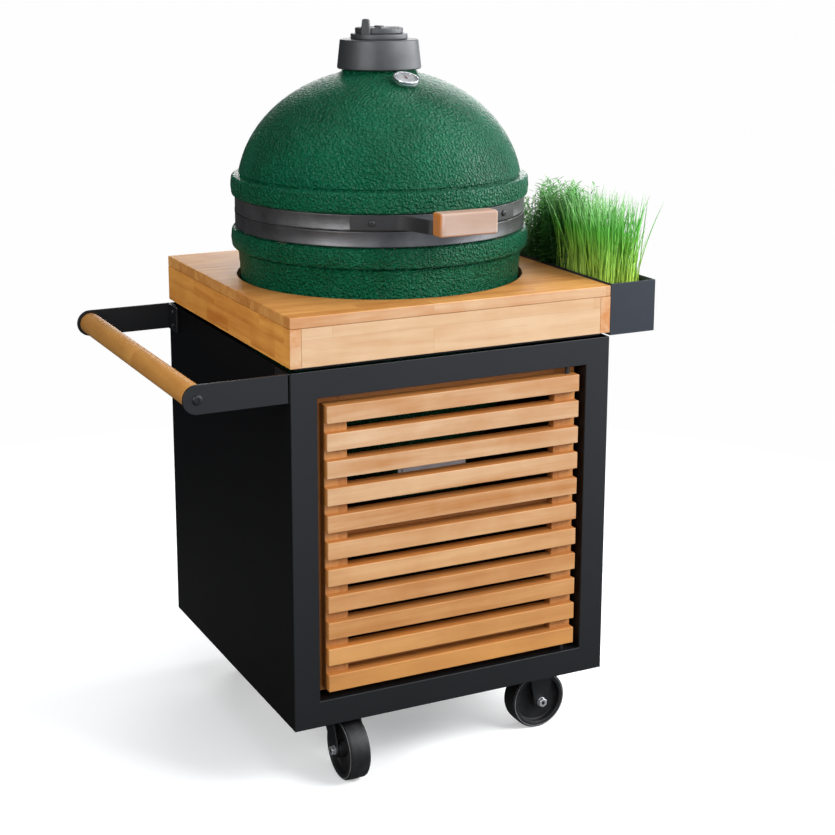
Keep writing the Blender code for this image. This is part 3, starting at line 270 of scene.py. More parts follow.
class Patch:
    # a node tree, and the one way nodes are added to it
    def __init__(self, tree):
        self.tree = tree

    def feed(self, node, sockets):
        for key, value in sockets.items():
            if isinstance(value, Wire):
                self.tree.links.new(value.socket, node.inputs[key])
            else:
                node.inputs[key].default_value = value

    def add(self, kind, settings, sockets, output=0):
        node = self.tree.nodes.new(kind)
        for key, value in settings.items():
            if key == "stops":
                while len(node.color_ramp.elements) < len(value):
                    node.color_ramp.elements.new(1.0)
                for element, (at, colour) in zip(node.color_ramp.elements, value):
                    element.position = at
                    element.color = (*colour, 1.0)
            else:
                setattr(node, key, value)
        self.feed(node, sockets)
        return Wire(self, node.outputs[output])

    def where(self):
        return self.add("ShaderNodeTexCoord", {}, {}, "Object")

    def place(self, scale=(1, 1, 1)):
        return self.add("ShaderNodeMapping", {}, {"Vector": self.where(), "Scale": scale})

    def noise(self, scale, detail=3.0, rough=0.5, stretch=(1, 1, 1), twist=0.0):
        return self.add("ShaderNodeTexNoise", {}, {"Vector": self.place(stretch), "Scale": scale,
                        "Detail": detail, "Roughness": rough, "Distortion": twist})

    def ramp(self, value, *stops):
        return self.add("ShaderNodeValToRGB", {"stops": stops}, {"Fac": value})

    def level(self, value, low, high, to=(0.0, 1.0)):
        return self.add("ShaderNodeMapRange", {}, {"Value": value, "From Min": low, "From Max": high,
                        "To Min": to[0], "To Max": to[1]})

    def mix(self, share, first, second):
        first = first if isinstance(first, Wire) else (*first, 1.0)
        second = second if isinstance(second, Wire) else (*second, 1.0)
        return self.add("ShaderNodeMix", {"data_type": "RGBA"},
                        {0: share, 6: first, 7: second}, 2)

    def bump(self, height, distance):
        return self.add("ShaderNodeBump", {}, {"Height": height, "Distance": distance, "Strength": 1.0})


class Recipe(Patch):
    # one finish: its Principled shader and the nodes that feed it
    def __init__(self, name, fixed):
        self.material = bpy.data.materials.new(name)
        self.material.use_nodes = True
        super().__init__(self.material.node_tree)
        self.shader = self.tree.nodes["Principled BSDF"]
        self.feed(self.shader, fixed)

    def finished(self, **sockets):
        self.feed(self.shader, {key.replace("_", " "): value for key, value in sockets.items()})
        return self.material


view = {"place": (-1.26, -2.737, 1.434), "down": 12.64, "towardsRight": 25.84, "lens": 72.9,
        "shift": (0.0276, -0.12)}
studio = {"floor": (0.86, 0.86, 0.85), "floorSize": 12.0, "fade": (0.8, 2.0), "bounce": 0.13, "lift": 0.25,
          "key": 128.0, "rightSide": 125.0, "leftFill": 100.0, "frontFill": 24.0, "top": 24.0, "rear": 75.0,
          "skyBright": 0.85, "skyDim": 0.05, "skyTint": (0.90, 0.97, 1.10)}

bpy.ops.object.camera_add(location=view["place"],
                          rotation=(math.radians(90 - view["down"]), 0, math.radians(-view["towardsRight"])))
camera = bpy.context.object
camera.data.lens = view["lens"]
camera.data.shift_x, camera.data.shift_y = view["shift"]
camera.data.clip_end = 100
bpy.context.scene.camera = camera
bpy.context.scene.view_settings.view_transform = "Standard"


def softbox(name, place, target, size, power):
    aim = (Vector(target) - Vector(place)).to_track_quat("-Z", "Y").to_euler()
    bpy.ops.object.light_add(type="AREA", location=place, rotation=aim)
    lamp = bpy.context.object
    lamp.name = name
    lamp.data.shape = "RECTANGLE"
    lamp.data.size, lamp.data.size_y = size
    lamp.data.energy = power
    return lamp


softbox("keyLight", (2.1, -2.5, 2.7), (0.0, 0.0, 0.8), (1.7, 1.7), studio["key"])
softbox("rightSideLight", (3.1, -0.5, 1.5), (0.0, 0.0, 0.9), (2.6, 2.2), studio["rightSide"])
softbox("leftFillLight", (-3.1, -1.7, 2.0), (0.0, 0.0, 0.7), (1.6, 1.8), studio["leftFill"])
softbox("frontFillLight", (-0.3, -4.2, 2.2), (0.0, 0.0, 0.6), (2.0, 2.0), studio["frontFill"])
softbox("topLight", (0.4, 0.3, 3.6), (0.0, 0.0, 0.8), (2.2, 2.2), studio["top"])
softbox("rearFillLight", (1.9, 3.3, 1.9), (0.0, 0.0, 0.7), (2.2, 2.0), studio["rear"])


def studioSky():
    # dim behind on the left, bright in front on the right, plain white to the camera
    world = bpy.data.worlds.new("studioSky")
    bpy.context.scene.world = world
    world.use_nodes = True
    world.node_tree.nodes.clear()
    sky = Patch(world.node_tree)
    around = sky.add("ShaderNodeTexCoord", {}, {}, "Generated")
    across = sky.add("ShaderNodeVectorMath", {"operation": "DOT_PRODUCT"},
                     {0: around, 1: (0.78, -0.62, 0.08)}, "Value")
    power = sky.level(across, -0.35, 0.85, (studio["skyDim"], studio["skyBright"]))
    lit = sky.add("ShaderNodeBackground", {}, {"Color": (*studio["skyTint"], 1.0), "Strength": power})
    seen = sky.add("ShaderNodeBackground", {}, {"Color": (0.99, 0.99, 0.99, 1.0), "Strength": 1.0})
    ray = sky.add("ShaderNodeLightPath", {}, {}, "Is Camera Ray")
    mixed = sky.add("ShaderNodeMixShader", {}, {0: ray, 1: lit, 2: seen})
    sky.feed(world.node_tree.nodes.new("ShaderNodeOutputWorld"), {"Surface": mixed})


def paleFloor():
    # pale to the camera, with little light thrown back up; it fades into the sky's white
    r = Recipe("paleFloor", {"Roughness": 0.7, "Specular IOR Level": 0.0, "Emission Strength": 1.0})
    ray = r.add("ShaderNodeLightPath", {}, {}, "Is Camera Ray")
    pale = r.mix(r.noise(0.8), studio["floor"], [c * 0.985 for c in studio["floor"]])
    away = r.add("ShaderNodeVectorMath", {"operation": "LENGTH"}, {0: r.place()}, "Value")
    return r.finished(Base_Color=r.mix(ray, [studio["bounce"]] * 3, pale),
                      Emission_Color=r.mix(ray, (0.0, 0.0, 0.0), [studio["lift"]] * 3),
                      Alpha=r.level(away, *studio["fade"], (1.0, 0.0)))


studioSky()
bpy.ops.mesh.primitive_plane_add(size=studio["floorSize"], location=(0, 0, 0))
floor = bpy.context.object
floor.name = "studio_floor"
floor.data.materials.append(paleFloor())
print("camera, light and floor are set")


def greenGlaze():
    glaze = {"dark": (0.0003, 0.062, 0.024), "mid": (0.0006, 0.104, 0.045), "thin": (0.004, 0.18, 0.088)}
    r = Recipe("greenGlaze", {"Specular IOR Level": 0.18})
    peel = r.noise(230, 1.5, 0.5, twist=0.25)
    fine = r.noise(620, 2.0, 0.6)
    cloud = r.noise(9, 3.0, 0.55)
    body = r.mix(r.level(cloud, 0.3, 0.7), glaze["dark"], glaze["mid"])
    body = r.mix(r.level(peel, 0.55, 0.8, (0.0, 0.7)), body, glaze["thin"])
    bare = r.add("ShaderNodeAttribute", {"attribute_name": "bare"}, {}, "Fac")   # 1 on the unglazed inside
    clay = r.mix(r.level(cloud, 0.4, 0.7), (0.40, 0.30, 0.21), (0.16, 0.125, 0.10))
    height = (r.level(peel, 0.25, 0.75) + fine * 0.12) * (1 - bare * 0.85)
    return r.finished(Base_Color=r.mix(bare, body, clay),
                      Roughness=r.level(fine, 0.25, 0.75, (0.27, 0.42)) + bare * 0.48,
                      Normal=r.bump(height, 0.0085))


def fireClay():
    r = Recipe("fireClay", {"Specular IOR Level": 0.2})
    grit = r.noise(260, 4.0, 0.6)
    soot = r.noise(7, 4.0, 0.6)
    tone = r.mix(r.level(soot, 0.42, 0.7), (0.36, 0.27, 0.19), (0.12, 0.10, 0.085))
    return r.finished(Base_Color=r.mix(grit * 0.35, tone, (0.5, 0.42, 0.33)), Roughness=0.82 + grit * 0.12,
                      Normal=r.bump(grit, 0.0012))


def brushedBand(name, bright, dull):
    # band steel: satin, drawn round the egg, with faint rub marks
    r = Recipe(name, {"Metallic": 0.85})
    drawnLines = r.noise(60, 3.0, 0.6, stretch=(1, 1, 30))
    rubbed = r.noise(14, 4.0, 0.6)
    tone = r.mix(r.level(rubbed, 0.35, 0.7), dull, bright)
    return r.finished(Base_Color=tone, Roughness=0.34 + drawnLines * 0.2, Normal=r.bump(drawnLines, 0.0002))


def castMetal(name, light, dark, bumpDepth, metallic):
    r = Recipe(name, {"Metallic": metallic})
    grain = r.noise(900, 3.0, 0.55)
    cloud = r.noise(18, 3.0, 0.5)
    return r.finished(Base_Color=r.mix(r.level(cloud, 0.3, 0.7), dark, light),
                      Roughness=0.42 + grain * 0.16, Normal=r.bump(grain, bumpDepth))


def powderCoat(name, light, dark, shine=0.5):
    r = Recipe(name, {"Specular IOR Level": shine})
    orange = r.noise(1100, 2.0, 0.5)
    cloud = r.noise(5, 2.0, 0.5)
    return r.finished(Base_Color=r.mix(r.level(cloud, 0.3, 0.7), dark, light),
                      Roughness=0.4 + orange * 0.16, Normal=r.bump(orange, 0.00012))


def stainless(name, tone, along):
    r = Recipe(name, {"Metallic": 1.0})
    stretch = tuple(1 if axis == along else 60 for axis in "XYZ")
    brushed = r.noise(16, 4.0, 0.65, stretch=stretch)
    return r.finished(Base_Color=r.mix(brushed, [c * 0.75 for c in tone], tone),
                      Roughness=0.2 + brushed * 0.22, Normal=r.bump(brushed, 0.00008))


def brightPlate(name, tone, rough):
    r = Recipe(name, {"Metallic": 1.0})
    haze = r.noise(120, 3.0, 0.5)
    return r.finished(Base_Color=r.mix(haze, [c * 0.85 for c in tone], tone),
                      Roughness=rough + haze * 0.14, Normal=r.bump(haze, 0.00006))


def pressedFelt():
    r = Recipe("pressedFelt", {"Sheen Weight": 0.4, "Specular IOR Level": 0.1})
    fibre = r.noise(700, 5.0, 0.7)
    return r.finished(Base_Color=r.mix(fibre, (0.018, 0.018, 0.018), (0.085, 0.083, 0.08)),
                      Roughness=0.85 + fibre * 0.12, Normal=r.bump(fibre, 0.0012))


def oiledWood(name, along, across, light, dark, stave=(0.34, 0.043), bands=None, paintedLightRamps=()):
    # staves along one axis; each one has its own tone and its own place in the grain
    r = Recipe(name, {"Specular IOR Level": 0.35})
    where = r.where()
    parts = {axis: r.add("ShaderNodeSeparateXYZ", {}, {0: where}, axis) for axis in "XYZ"}
    third = ({"X", "Y", "Z"} - {along, across}).pop()
    laid = r.add("ShaderNodeCombineXYZ", {}, {"X": parts[along], "Y": parts[across], "Z": parts[third]})
    brick = {"Vector": laid, "Scale": 1.0, "Brick Width": stave[0], "Row Height": stave[1],
             "Mortar Size": 0.0005, "Mortar Smooth": 0.6, "Color1": (0, 0, 0, 1),
             "Color2": (1, 1, 1, 1), "Mortar": (0.5, 0.5, 0.5, 1)}
    shade = r.add("ShaderNodeTexBrick", {"offset": 0.37, "offset_frequency": 2}, brick)
    seam = r.add("ShaderNodeTexBrick", {"offset": 0.37, "offset_frequency": 2}, brick, "Fac")
    if bands:
        low, pitch = bands
        index = r.add("ShaderNodeMath", {"operation": "FLOOR"}, {0: (parts["Z"] - low) / pitch})
        shade = r.add("ShaderNodeTexWhiteNoise", {"noise_dimensions": "1D"}, {"W": index}, "Value")
        seam = seam * 0.0
    own = r.add("ShaderNodeCombineXYZ", {}, {"X": shade * 3.7 + parts[along],
                                             "Y": shade * 1.9 + parts[across],
                                             "Z": shade * 2.3 + parts[third]})
    fibres = r.add("ShaderNodeMapping", {}, {"Vector": own, "Scale": (4.0, 90.0, 90.0)})
    rings = r.add("ShaderNodeMapping", {}, {"Vector": own, "Scale": (1.4, 15.0, 15.0)})
    fibre = r.add("ShaderNodeTexNoise", {}, {"Vector": fibres, "Scale": 1.6, "Detail": 5.0,
                                             "Roughness": 0.65})
    ring = r.add("ShaderNodeTexNoise", {}, {"Vector": rings, "Scale": 1.3, "Detail": 3.0, "Distortion": 1.4})
    cloud = r.level(r.noise(11, 3.0, 0.6), 0.35, 0.7)
    amount = r.level(ring, 0.36, 0.66) * 0.5 + r.level(fibre, 0.3, 0.72) * 0.22 + shade * 0.4 + cloud * 0.3
    amount = amount - 0.2
    # painted light: each ramp blends the light tone towards a painted sheen or painted shade colour along one
    # axis
    for axis, start, end, colour in paintedLightRamps:
        light = r.mix(r.level(parts[axis], start, end), light, colour)
    tone = r.mix(amount, light, dark)
    pores = r.level(fibre, 0.62, 0.8)
    tone = r.mix(pores * 0.35, tone, [c * 0.55 for c in dark])
    tone = r.mix(seam * 0.16, tone, [c * 0.5 for c in dark])
    height = fibre * 0.6 + ring * 0.3 - seam * 0.4
    return r.finished(Base_Color=tone, Roughness=0.44 + fibre * 0.18, Normal=r.bump(height, 0.00035))


def pottingSoil():
    r = Recipe("pottingSoil", {"Specular IOR Level": 0.15})
    crumbs = r.noise(300, 5.0, 0.7)
    bark = r.noise(90, 3.0, 0.6)
    tone = r.mix(r.level(bark, 0.45, 0.7), (0.009, 0.006, 0.004), (0.05, 0.035, 0.026))
    return r.finished(Base_Color=r.mix(r.level(crumbs, 0.6, 0.8), tone, (0.16, 0.13, 0.11)),
                      Roughness=0.85 + crumbs * 0.1, Normal=r.bump(crumbs, 0.003))


def leafGreen(name, low, middle, tip, soilTop, tall):
    # paler at the root, deepest half way up, with every stem a little different
    r = Recipe(name, {"Specular IOR Level": 0.4, "Subsurface Weight": 0.12,
                      "Subsurface Radius": (0.002, 0.004, 0.001), "Subsurface Scale": 0.5})
    height = r.add("ShaderNodeSeparateXYZ", {}, {0: r.where()}, "Z")
    rise = r.level(height, soilTop, soilTop + tall)
    tone = r.ramp(rise, (0.0, low), (0.55, middle), (1.0, tip))
    stems = r.noise(110, 2.0, 0.5, stretch=(1, 1, 0.12))
    tone = r.mix(r.level(stems, 0.42, 0.68) * 0.6, tone, [c * 0.3 for c in middle])
    return r.finished(Base_Color=tone, Roughness=0.36 + stems * 0.2, Normal=r.bump(stems, 0.0004))


def tyreRubber():
    r = Recipe("tyreRubber", {"Specular IOR Level": 0.35})
    dust = r.noise(40, 4.0, 0.6)
    fine = r.noise(900, 2.0, 0.5)
    return r.finished(Base_Color=r.mix(r.level(dust, 0.45, 0.75), (0.007, 0.007, 0.0075),
                                       (0.022, 0.022, 0.023)),
                      Roughness=0.42 + dust * 0.2, Normal=r.bump(fine, 0.0002))


def dialPaper():
    r = Recipe("dialPaper", {"Specular IOR Level": 0.3})
    speck = r.noise(700, 2.0, 0.5)
    return r.finished(Base_Color=r.mix(speck, (0.84, 0.84, 0.83), (0.92, 0.92, 0.91)),
                      Roughness=0.4 + speck * 0.1)


def inkOnDial(name, tone):
    r = Recipe(name, {"Specular IOR Level": 0.3})
    speck = r.noise(500, 2.0, 0.5)
    return r.finished(Base_Color=r.mix(speck, tone, [c * 0.7 for c in tone]), Roughness=0.4 + speck * 0.15)


def lensGlass():
    r = Recipe("lensGlass", {"Transmission Weight": 1.0, "IOR": 1.46, "Specular IOR Level": 0.5})
    haze = r.noise(60, 2.0, 0.5)
    return r.finished(Base_Color=r.mix(haze, (0.96, 0.97, 0.98), (1.0, 1.0, 1.0)), Roughness=haze * 0.04)


soilTop = span("planter_soil")[1].z
slatLow = span("door_slats")[0].z
slats = {"count": 11, "pitch": 0.0474, "height": 0.030, "stile": 0.0423, "recess": 0.014, "edge": 0.0012,
         "frameBar": 0.042}
woodLight, woodDark = (0.66, 0.325, 0.09), (0.38, 0.13, 0.02)
# painted light: the pale tone is a painted sheen for faces turned to the front, the warm tone is painted
# shade for faces set back or turned aside, and the gold tone is painted shade low on the door
sheenPaleWood, shadedWarmWood, shadedLowGoldWood = (0.545, 0.365, 0.215), (0.46, 0.16, 0.03), (0.52, 0.24, 0.06)
woodFront = span("top_slab")[0].y
slatFront = span("door_slats")[0].y
gripEnd = span("handle_grip")[0]
finishes = {
    "glaze": greenGlaze(),
    "clay": fireClay(),
    # painted shade: the lower band is a slightly darker copy of the same band steel
    "shadedLowerBand": brushedBand("shadedLowerBandSteel", (0.15, 0.15, 0.155), (0.075, 0.075, 0.077)),
    "upperBand": brushedBand("upperBandSteel", (0.17, 0.17, 0.174), (0.085, 0.085, 0.087)),
    "bracket": castMetal("bracketSteel", (0.020, 0.020, 0.021), (0.012, 0.012, 0.013), 0.0002, 0.2),
    "screws": castMetal("screwSteel", (0.10, 0.10, 0.105), (0.06, 0.06, 0.063), 0.0001, 0.6),
    "cap": castMetal("capCasting", (0.092, 0.094, 0.097), (0.060, 0.062, 0.064), 0.0003, 0.72),
    "iron": castMetal("castIron", (0.035, 0.033, 0.031), (0.014, 0.014, 0.014), 0.001, 0.3),
    "stainless": stainless("brushedStainless", (0.6, 0.6, 0.61), "X"),
    "rods": stainless("gridSteel", (0.5, 0.49, 0.47), "Y"),
    "felt": pressedFelt(),
    "cabinet": powderCoat("darkPowderCoat", (0.0022, 0.0030, 0.0040), (0.0012, 0.0017, 0.0024), 0.43),
    # painted shade: the sides, back and floor are a darker, duller copy of the front's powder coat
    "shadedSidePanel": powderCoat("shadedBlackPowderCoat", (0.0014, 0.0014, 0.0015), (0.0009, 0.0009, 0.001), 0.12),
    "planter": powderCoat("slatePowderCoat", (0.019, 0.024, 0.032), (0.015, 0.019, 0.026), 0.35),
    # painted sheen: the slab's front edge face is painted pale
    "slabWood": oiledWood("slabWood", "X", "Y", woodLight, woodDark,
                          paintedLightRamps=[("Y", woodFront + 0.0012, woodFront, sheenPaleWood)]),
    # painted sheen: the front and back boards are a paler copy of the side boards' wood
    "sheenPaleApronWood": oiledWood("sheenPaleApronWood", "X", "Z", sheenPaleWood, (0.43, 0.22, 0.09), (0.5, 0.05)),
    # painted sheen: the side boards' front ends are painted pale
    "sideApronWood": oiledWood("sideApronWood", "Y", "Z", (0.76, 0.35, 0.07), (0.44, 0.14, 0.016),
                               (0.11, 0.033), paintedLightRamps=[("Y", woodFront + 0.0012, woodFront, sheenPaleWood)]),
    # painted shade: the slats darken to gold towards the bottom of the door and to the warm tone on faces set
    # back from the slat fronts
    "slatWood": oiledWood("slatWood", "X", "Z", sheenPaleWood, (0.37, 0.15, 0.04), bands=(slatLow, slats["pitch"]),
                          paintedLightRamps=[("Z", slatLow + 0.42, slatLow, shadedLowGoldWood),
                                 ("Y", slatFront, slatFront + 0.004, shadedWarmWood)]),
    # painted shade: the stiles darken to the warm tone further back behind the slats
    "stileWood": oiledWood("stileWood", "Z", "X", (0.50, 0.23, 0.07), (0.36, 0.13, 0.03),
                           paintedLightRamps=[("Y", slatFront + 0.014, slatFront + 0.03, shadedWarmWood)]),
    "barWood": oiledWood("barWood", "Y", "X", (0.52, 0.25, 0.058), (0.33, 0.13, 0.025), (3.0, 0.5)),
    # painted shade: the grip's left end and underside take the warm shaded tone
    "gripWood": oiledWood("gripWood", "X", "Z", (0.40, 0.285, 0.225), (0.30, 0.165, 0.10), (3.0, 0.5),
                          paintedLightRamps=[("X", gripEnd.x + 0.005, gripEnd.x + 0.001, shadedWarmWood),
                                 ("Z", gripEnd.z + 0.004, gripEnd.z, shadedWarmWood)]),
    "soil": pottingSoil(),
    "chive": leafGreen("chiveGreen", (0.52, 0.72, 0.10), (0.12, 0.50, 0.05), (0.34, 0.58, 0.30), soilTop,
                       0.17),
    "bush": leafGreen("bushGreen", (0.02, 0.12, 0.015), (0.07, 0.36, 0.06), (0.20, 0.56, 0.15), soilTop,
                      0.17),
    "thyme": leafGreen("thymeGreen", (0.03, 0.10, 0.02), (0.12, 0.32, 0.08), (0.34, 0.56, 0.24), soilTop,
                       0.13),
    "rubber": tyreRubber(),
    "chrome": brightPlate("chromePlate", (0.74, 0.75, 0.76), 0.08),
    "zinc": brightPlate("zincPlate", (0.86, 0.87, 0.88), 0.34),
    "rimLine": castMetal("rimLine", (0.30, 0.30, 0.30), (0.22, 0.22, 0.22), 0.0001, 0.0),
    "dial": dialPaper(),
    "ink": inkOnDial("dialInk", (0.015, 0.015, 0.017)),
    "redInk": inkOnDial("dialRed", (0.5, 0.02, 0.015)),
    "glass": lensGlass(),
}
print("finishes mixed:", len(finishes))


egg = {"steps": 460, "row": 0.0029, "innerRow": 0.02, "peelWave": 0.0062, "peelDepth": 0.00085,
       "wall": 0.027, "floor": 0.032, "atWorktop": 0.2535, "seat": 0.2585, "bead": 0.2685, "groove": 0.0022,
       "corner": 0.0055}
eggAxis = span("base_gasket")[2]
eggAt = (eggAxis.x, eggAxis.y, 0)
worktopZ = span("top_slab")[1].z
rimInside = egg["seat"] - egg["wall"]


def bead(low, high, below, above):
    # a raised belt with a fine groove at both sides; below and above are the radii it stands on
    out, corner, groove = egg["bead"], egg["corner"], egg["groove"]
    crown = 0.0012
    belt = [(below, low - 2.2 * groove), (below - groove, low - 1.2 * groove),
            (below - groove, low - 0.2 * groove)]
    belt += arc((out - corner, low + corner), corner, -90, 0, 5)
    belt += [(out + crown, (low + high) / 2)]
    belt += arc((out - corner, high - corner), corner, 0, 90, 5)
    belt += [(above - groove, high + 0.2 * groove), (above - groove, high + 1.2 * groove),
             (above, high + 2.2 * groove)]
    return belt


def hammered(piece, outside):
    group = piece.vertex_groups.new(name="peel")
    for vert in piece.data.vertices:
        if outside(vert.co):
            group.add([vert.index], 1.0, "REPLACE")
    peel = bpy.data.textures.get("peel") or bpy.data.textures.new("peel", "CLOUDS")
    peel.noise_scale = egg["peelWave"]
    peel.noise_depth = 1
    modified(piece, "DISPLACE", texture=peel, vertex_group=group.name, strength=egg["peelDepth"],
             mid_level=0.5)


def bareInside(piece, middleZ):
    # the inside is left unglazed: marked where the surface looks towards the middle of the egg
    mark = piece.data.attributes.new("bare", "FLOAT", "POINT")
    middle = Vector((*eggAt[:2], middleZ))
    for vert in piece.data.vertices:
        mark.data[vert.index].value = float((vert.co - middle).dot(vert.normal) < -0.02)


def domeShell():
    dome = {"centre": 0.9893, "radius": 0.2582, "rise": 0.2185, "wall": 0.025, "neck": 0.0645, "flue": 0.045,
            "fillet": 0.019, "rim": span("dome_shell")[0].z, "top": span("dome_shell")[1].z,
            "bead": (0.984, 1.020)}

    def onDome(radius, rise, centre, r):
        return centre + rise * math.sqrt(1 - (r / radius) ** 2)

    shoulder = dome["bead"][1] + 2.2 * egg["groove"]
    shoulderRadius = dome["radius"] * math.sqrt(1 - ((shoulder - dome["centre"]) / dome["rise"]) ** 2)
    seat = egg["seat"]
    outline = [(seat - 0.001, dome["rim"]), (seat, dome["rim"] + 0.001)]
    outline += bead(*dome["bead"], seat, shoulderRadius)
    first = math.acos(shoulderRadius / dome["radius"])
    filletRadius = dome["neck"] + dome["fillet"]
    last = math.acos(filletRadius / dome["radius"])
    for step in range(1, 41):
        angle = first + (last - first) * step / 40
        outline.append((dome["radius"] * math.cos(angle), dome["centre"] + dome["rise"] * math.sin(angle)))
    foot = onDome(dome["radius"], dome["rise"], dome["centre"], dome["neck"])
    outline += curved(outline[-1], (dome["neck"], foot - 0.001), (dome["neck"], foot + 0.009), 8)
    outside = dense(outline + [(dome["neck"], dome["top"] - 0.002)], egg["row"])
    inside = [(dome["neck"] - 0.002, dome["top"]), (dome["flue"], dome["top"])]
    insideRise = dome["rise"] - 0.9 * dome["wall"]
    first = math.acos(dome["flue"] / rimInside)
    for step in range(13):
        angle = first * (1 - step / 12)
        inside.append((rimInside * math.cos(angle), dome["centre"] + insideRise * math.sin(angle)))
    inside += [(rimInside, dome["rim"])]
    shell = turned("dome_ceramic", outside + dense(inside, egg["innerRow"]), egg["steps"], ring=True,
                   at=eggAt)

    def outsideOf(co):
        around = math.hypot(co.x - eggAt[0], co.y - eggAt[1])
        over = co.z > shoulder - 0.003 and around > dome["neck"] - 0.001 and co.z < dome["top"] - 0.004
        wall = onDome(rimInside, insideRise, dome["centre"], min(around, rimInside)) + 0.006
        return (over and co.z > wall) or (around > egg["seat"] + 0.001 and co.z > dome["bead"][0])

    hammered(shell, outsideOf)
    bareInside(shell, dome["centre"])
    return settled(shell, finishes["glaze"], "dome", "green_glaze", "dome_shell")


def baseShell():
    low, high = span("base_shell")[:2]
    base = {"foot": 0.100, "belowBead": 0.2575, "bead": (0.891, 0.925), "boss": 0.075, "bossRound": 0.006,
            "tunnel": 0.055}

    def bowl(foot, rim, depth, count):
        turn = [math.pi / 2 * step / count for step in range(count + 1)]
        return [(foot + (rim - foot) * math.sin(a), worktopZ - depth * math.cos(a)) for a in turn]

    outside = [(0, low.z)] + bowl(base["foot"], egg["atWorktop"], worktopZ - low.z, 30)
    upper = [outside[-1]] + bead(*base["bead"], base["belowBead"], egg["seat"])
    upper += [(egg["seat"], high.z - 0.001)]
    inner = [(egg["seat"] - 0.001, high.z), (rimInside, high.z)]
    inner += bowl(base["foot"] - base["foot"] * 0.135, egg["atWorktop"] - egg["wall"],
                  worktopZ - low.z - egg["floor"], 16)[::-1]
    inner += [(0, low.z + egg["floor"])]
    shell = turned("base_ceramic", outside + dense(upper, egg["row"])[1:] + inner, egg["steps"], at=eggAt)

    def outsideOf(co):
        around = math.hypot(co.x - eggAt[0], co.y - eggAt[1])
        shown = worktopZ - 0.004 < co.z < base["bead"][1] + 0.003
        return shown and around > egg["atWorktop"] - 0.004

    hammered(shell, outsideOf)
    draftLow, draftHigh, draftMiddle = span("draft_frame")
    face = draftHigh.y + touching
    half, tall = base["boss"], (draftHigh.z - draftLow.z) / 2 + 0.008
    boss = block("boss", (eggAt[0] - half, face, draftMiddle.z - tall),
                 (eggAt[0] + half, eggAt[1] - base["foot"] * 1.3, draftMiddle.z + tall), base["bossRound"], 4)
    boolean(shell, boss, "UNION")
    door = base["tunnel"]
    tunnel = block("tunnel", (eggAt[0] - door, face - 0.05, draftMiddle.z - 0.020),
                   (eggAt[0] + door, eggAt[1] - base["foot"], draftMiddle.z + 0.020))
    boolean(shell, tunnel)
    smooth(shell, 34)
    bareInside(shell, high.z)
    return settled(shell, finishes["glaze"], "cart", "green_glaze", "base_shell")


domeShell()
baseShell()
for name, body in (("base_gasket", "cart"), ("dome_gasket", "dome")):
    low, high, middle = span(name)
    rim = [(rimInside, low.z), (egg["seat"] - 0.001, low.z), (egg["seat"], (low.z + high.z) / 2),
           (egg["seat"] - 0.001, high.z), (rimInside, high.z)]
    settled(turned(name.replace("gasket", "felt_seal"), rim, 180, ring=True, at=eggAt), finishes["felt"],
            body, "felt", name)
print("egg turned")


band = {"outer": 0.2630, "roll": 0.0013, "trim": 0.0014, "plate": 0.003, "lug": 0.005, "eye": 0.010,
        "pin": 0.004,
        "halfAngle": 18, "baseLug": 0.0575, "domeLug": 0.0455, "wire": 0.0012, "coil": 0.0072, "turns": 18}
pinAt = Vector(joints["dome_hinge"]["pos_m"])


def panHead(name, place, facing, radius, height):
    # a domed bolt head with a hexagon socket
    edge = (radius, height * 0.25)
    outline = [(0, 0), (radius, 0), edge]
    outline += curved(edge, (radius * 0.9, height), (radius * 0.35, height), 6) + [(0, height)]
    head = turned(name, outline, 32)
    bpy.ops.object.select_all(action="DESELECT")
    bpy.ops.mesh.primitive_cylinder_add(vertices=6, radius=radius * 0.42, depth=height,
                                        location=(0, 0, height))
    boolean(head, bpy.context.object)
    turn = Vector(facing).to_track_quat("Z", "Y").to_matrix().to_4x4()
    return placed(head, Matrix.Translation(place) @ turn)


def bandRing(name, node, body, finish):
    low, high = span(node)[:2]
    inner, roll = egg["seat"] + touching, band["roll"]
    outline = [(inner, low.z), (band["outer"] - roll, low.z)]
    outline += arc((band["outer"] - roll, low.z + roll), roll, -90, 0, 4)
    outline += [(band["outer"] - 0.0006, low.z + 2.4 * roll), (band["outer"] - 0.0006, high.z - 2.4 * roll)]
    outline += arc((band["outer"] - roll, high.z - roll), roll, 0, 90, 4) + [(inner, high.z)]
    ring = turned(name, outline, 256, ring=True, at=eggAt)
    return settled(ring, finishes[finish], body, "band_steel", node)


def lugOutline(lower, upper, eye, radius):
    # two straight sides that run onto a round eye
    def touch(point, side):
        away = Vector(point) - Vector(eye)
        return math.degrees(math.atan2(away.y, away.x)) + side * math.degrees(math.acos(radius / away.length))
    first, last = touch(lower, 1) % 360, touch(upper, -1) % 360
    return [lower] + arc(eye, radius, first - 360, last, 24) + [upper]


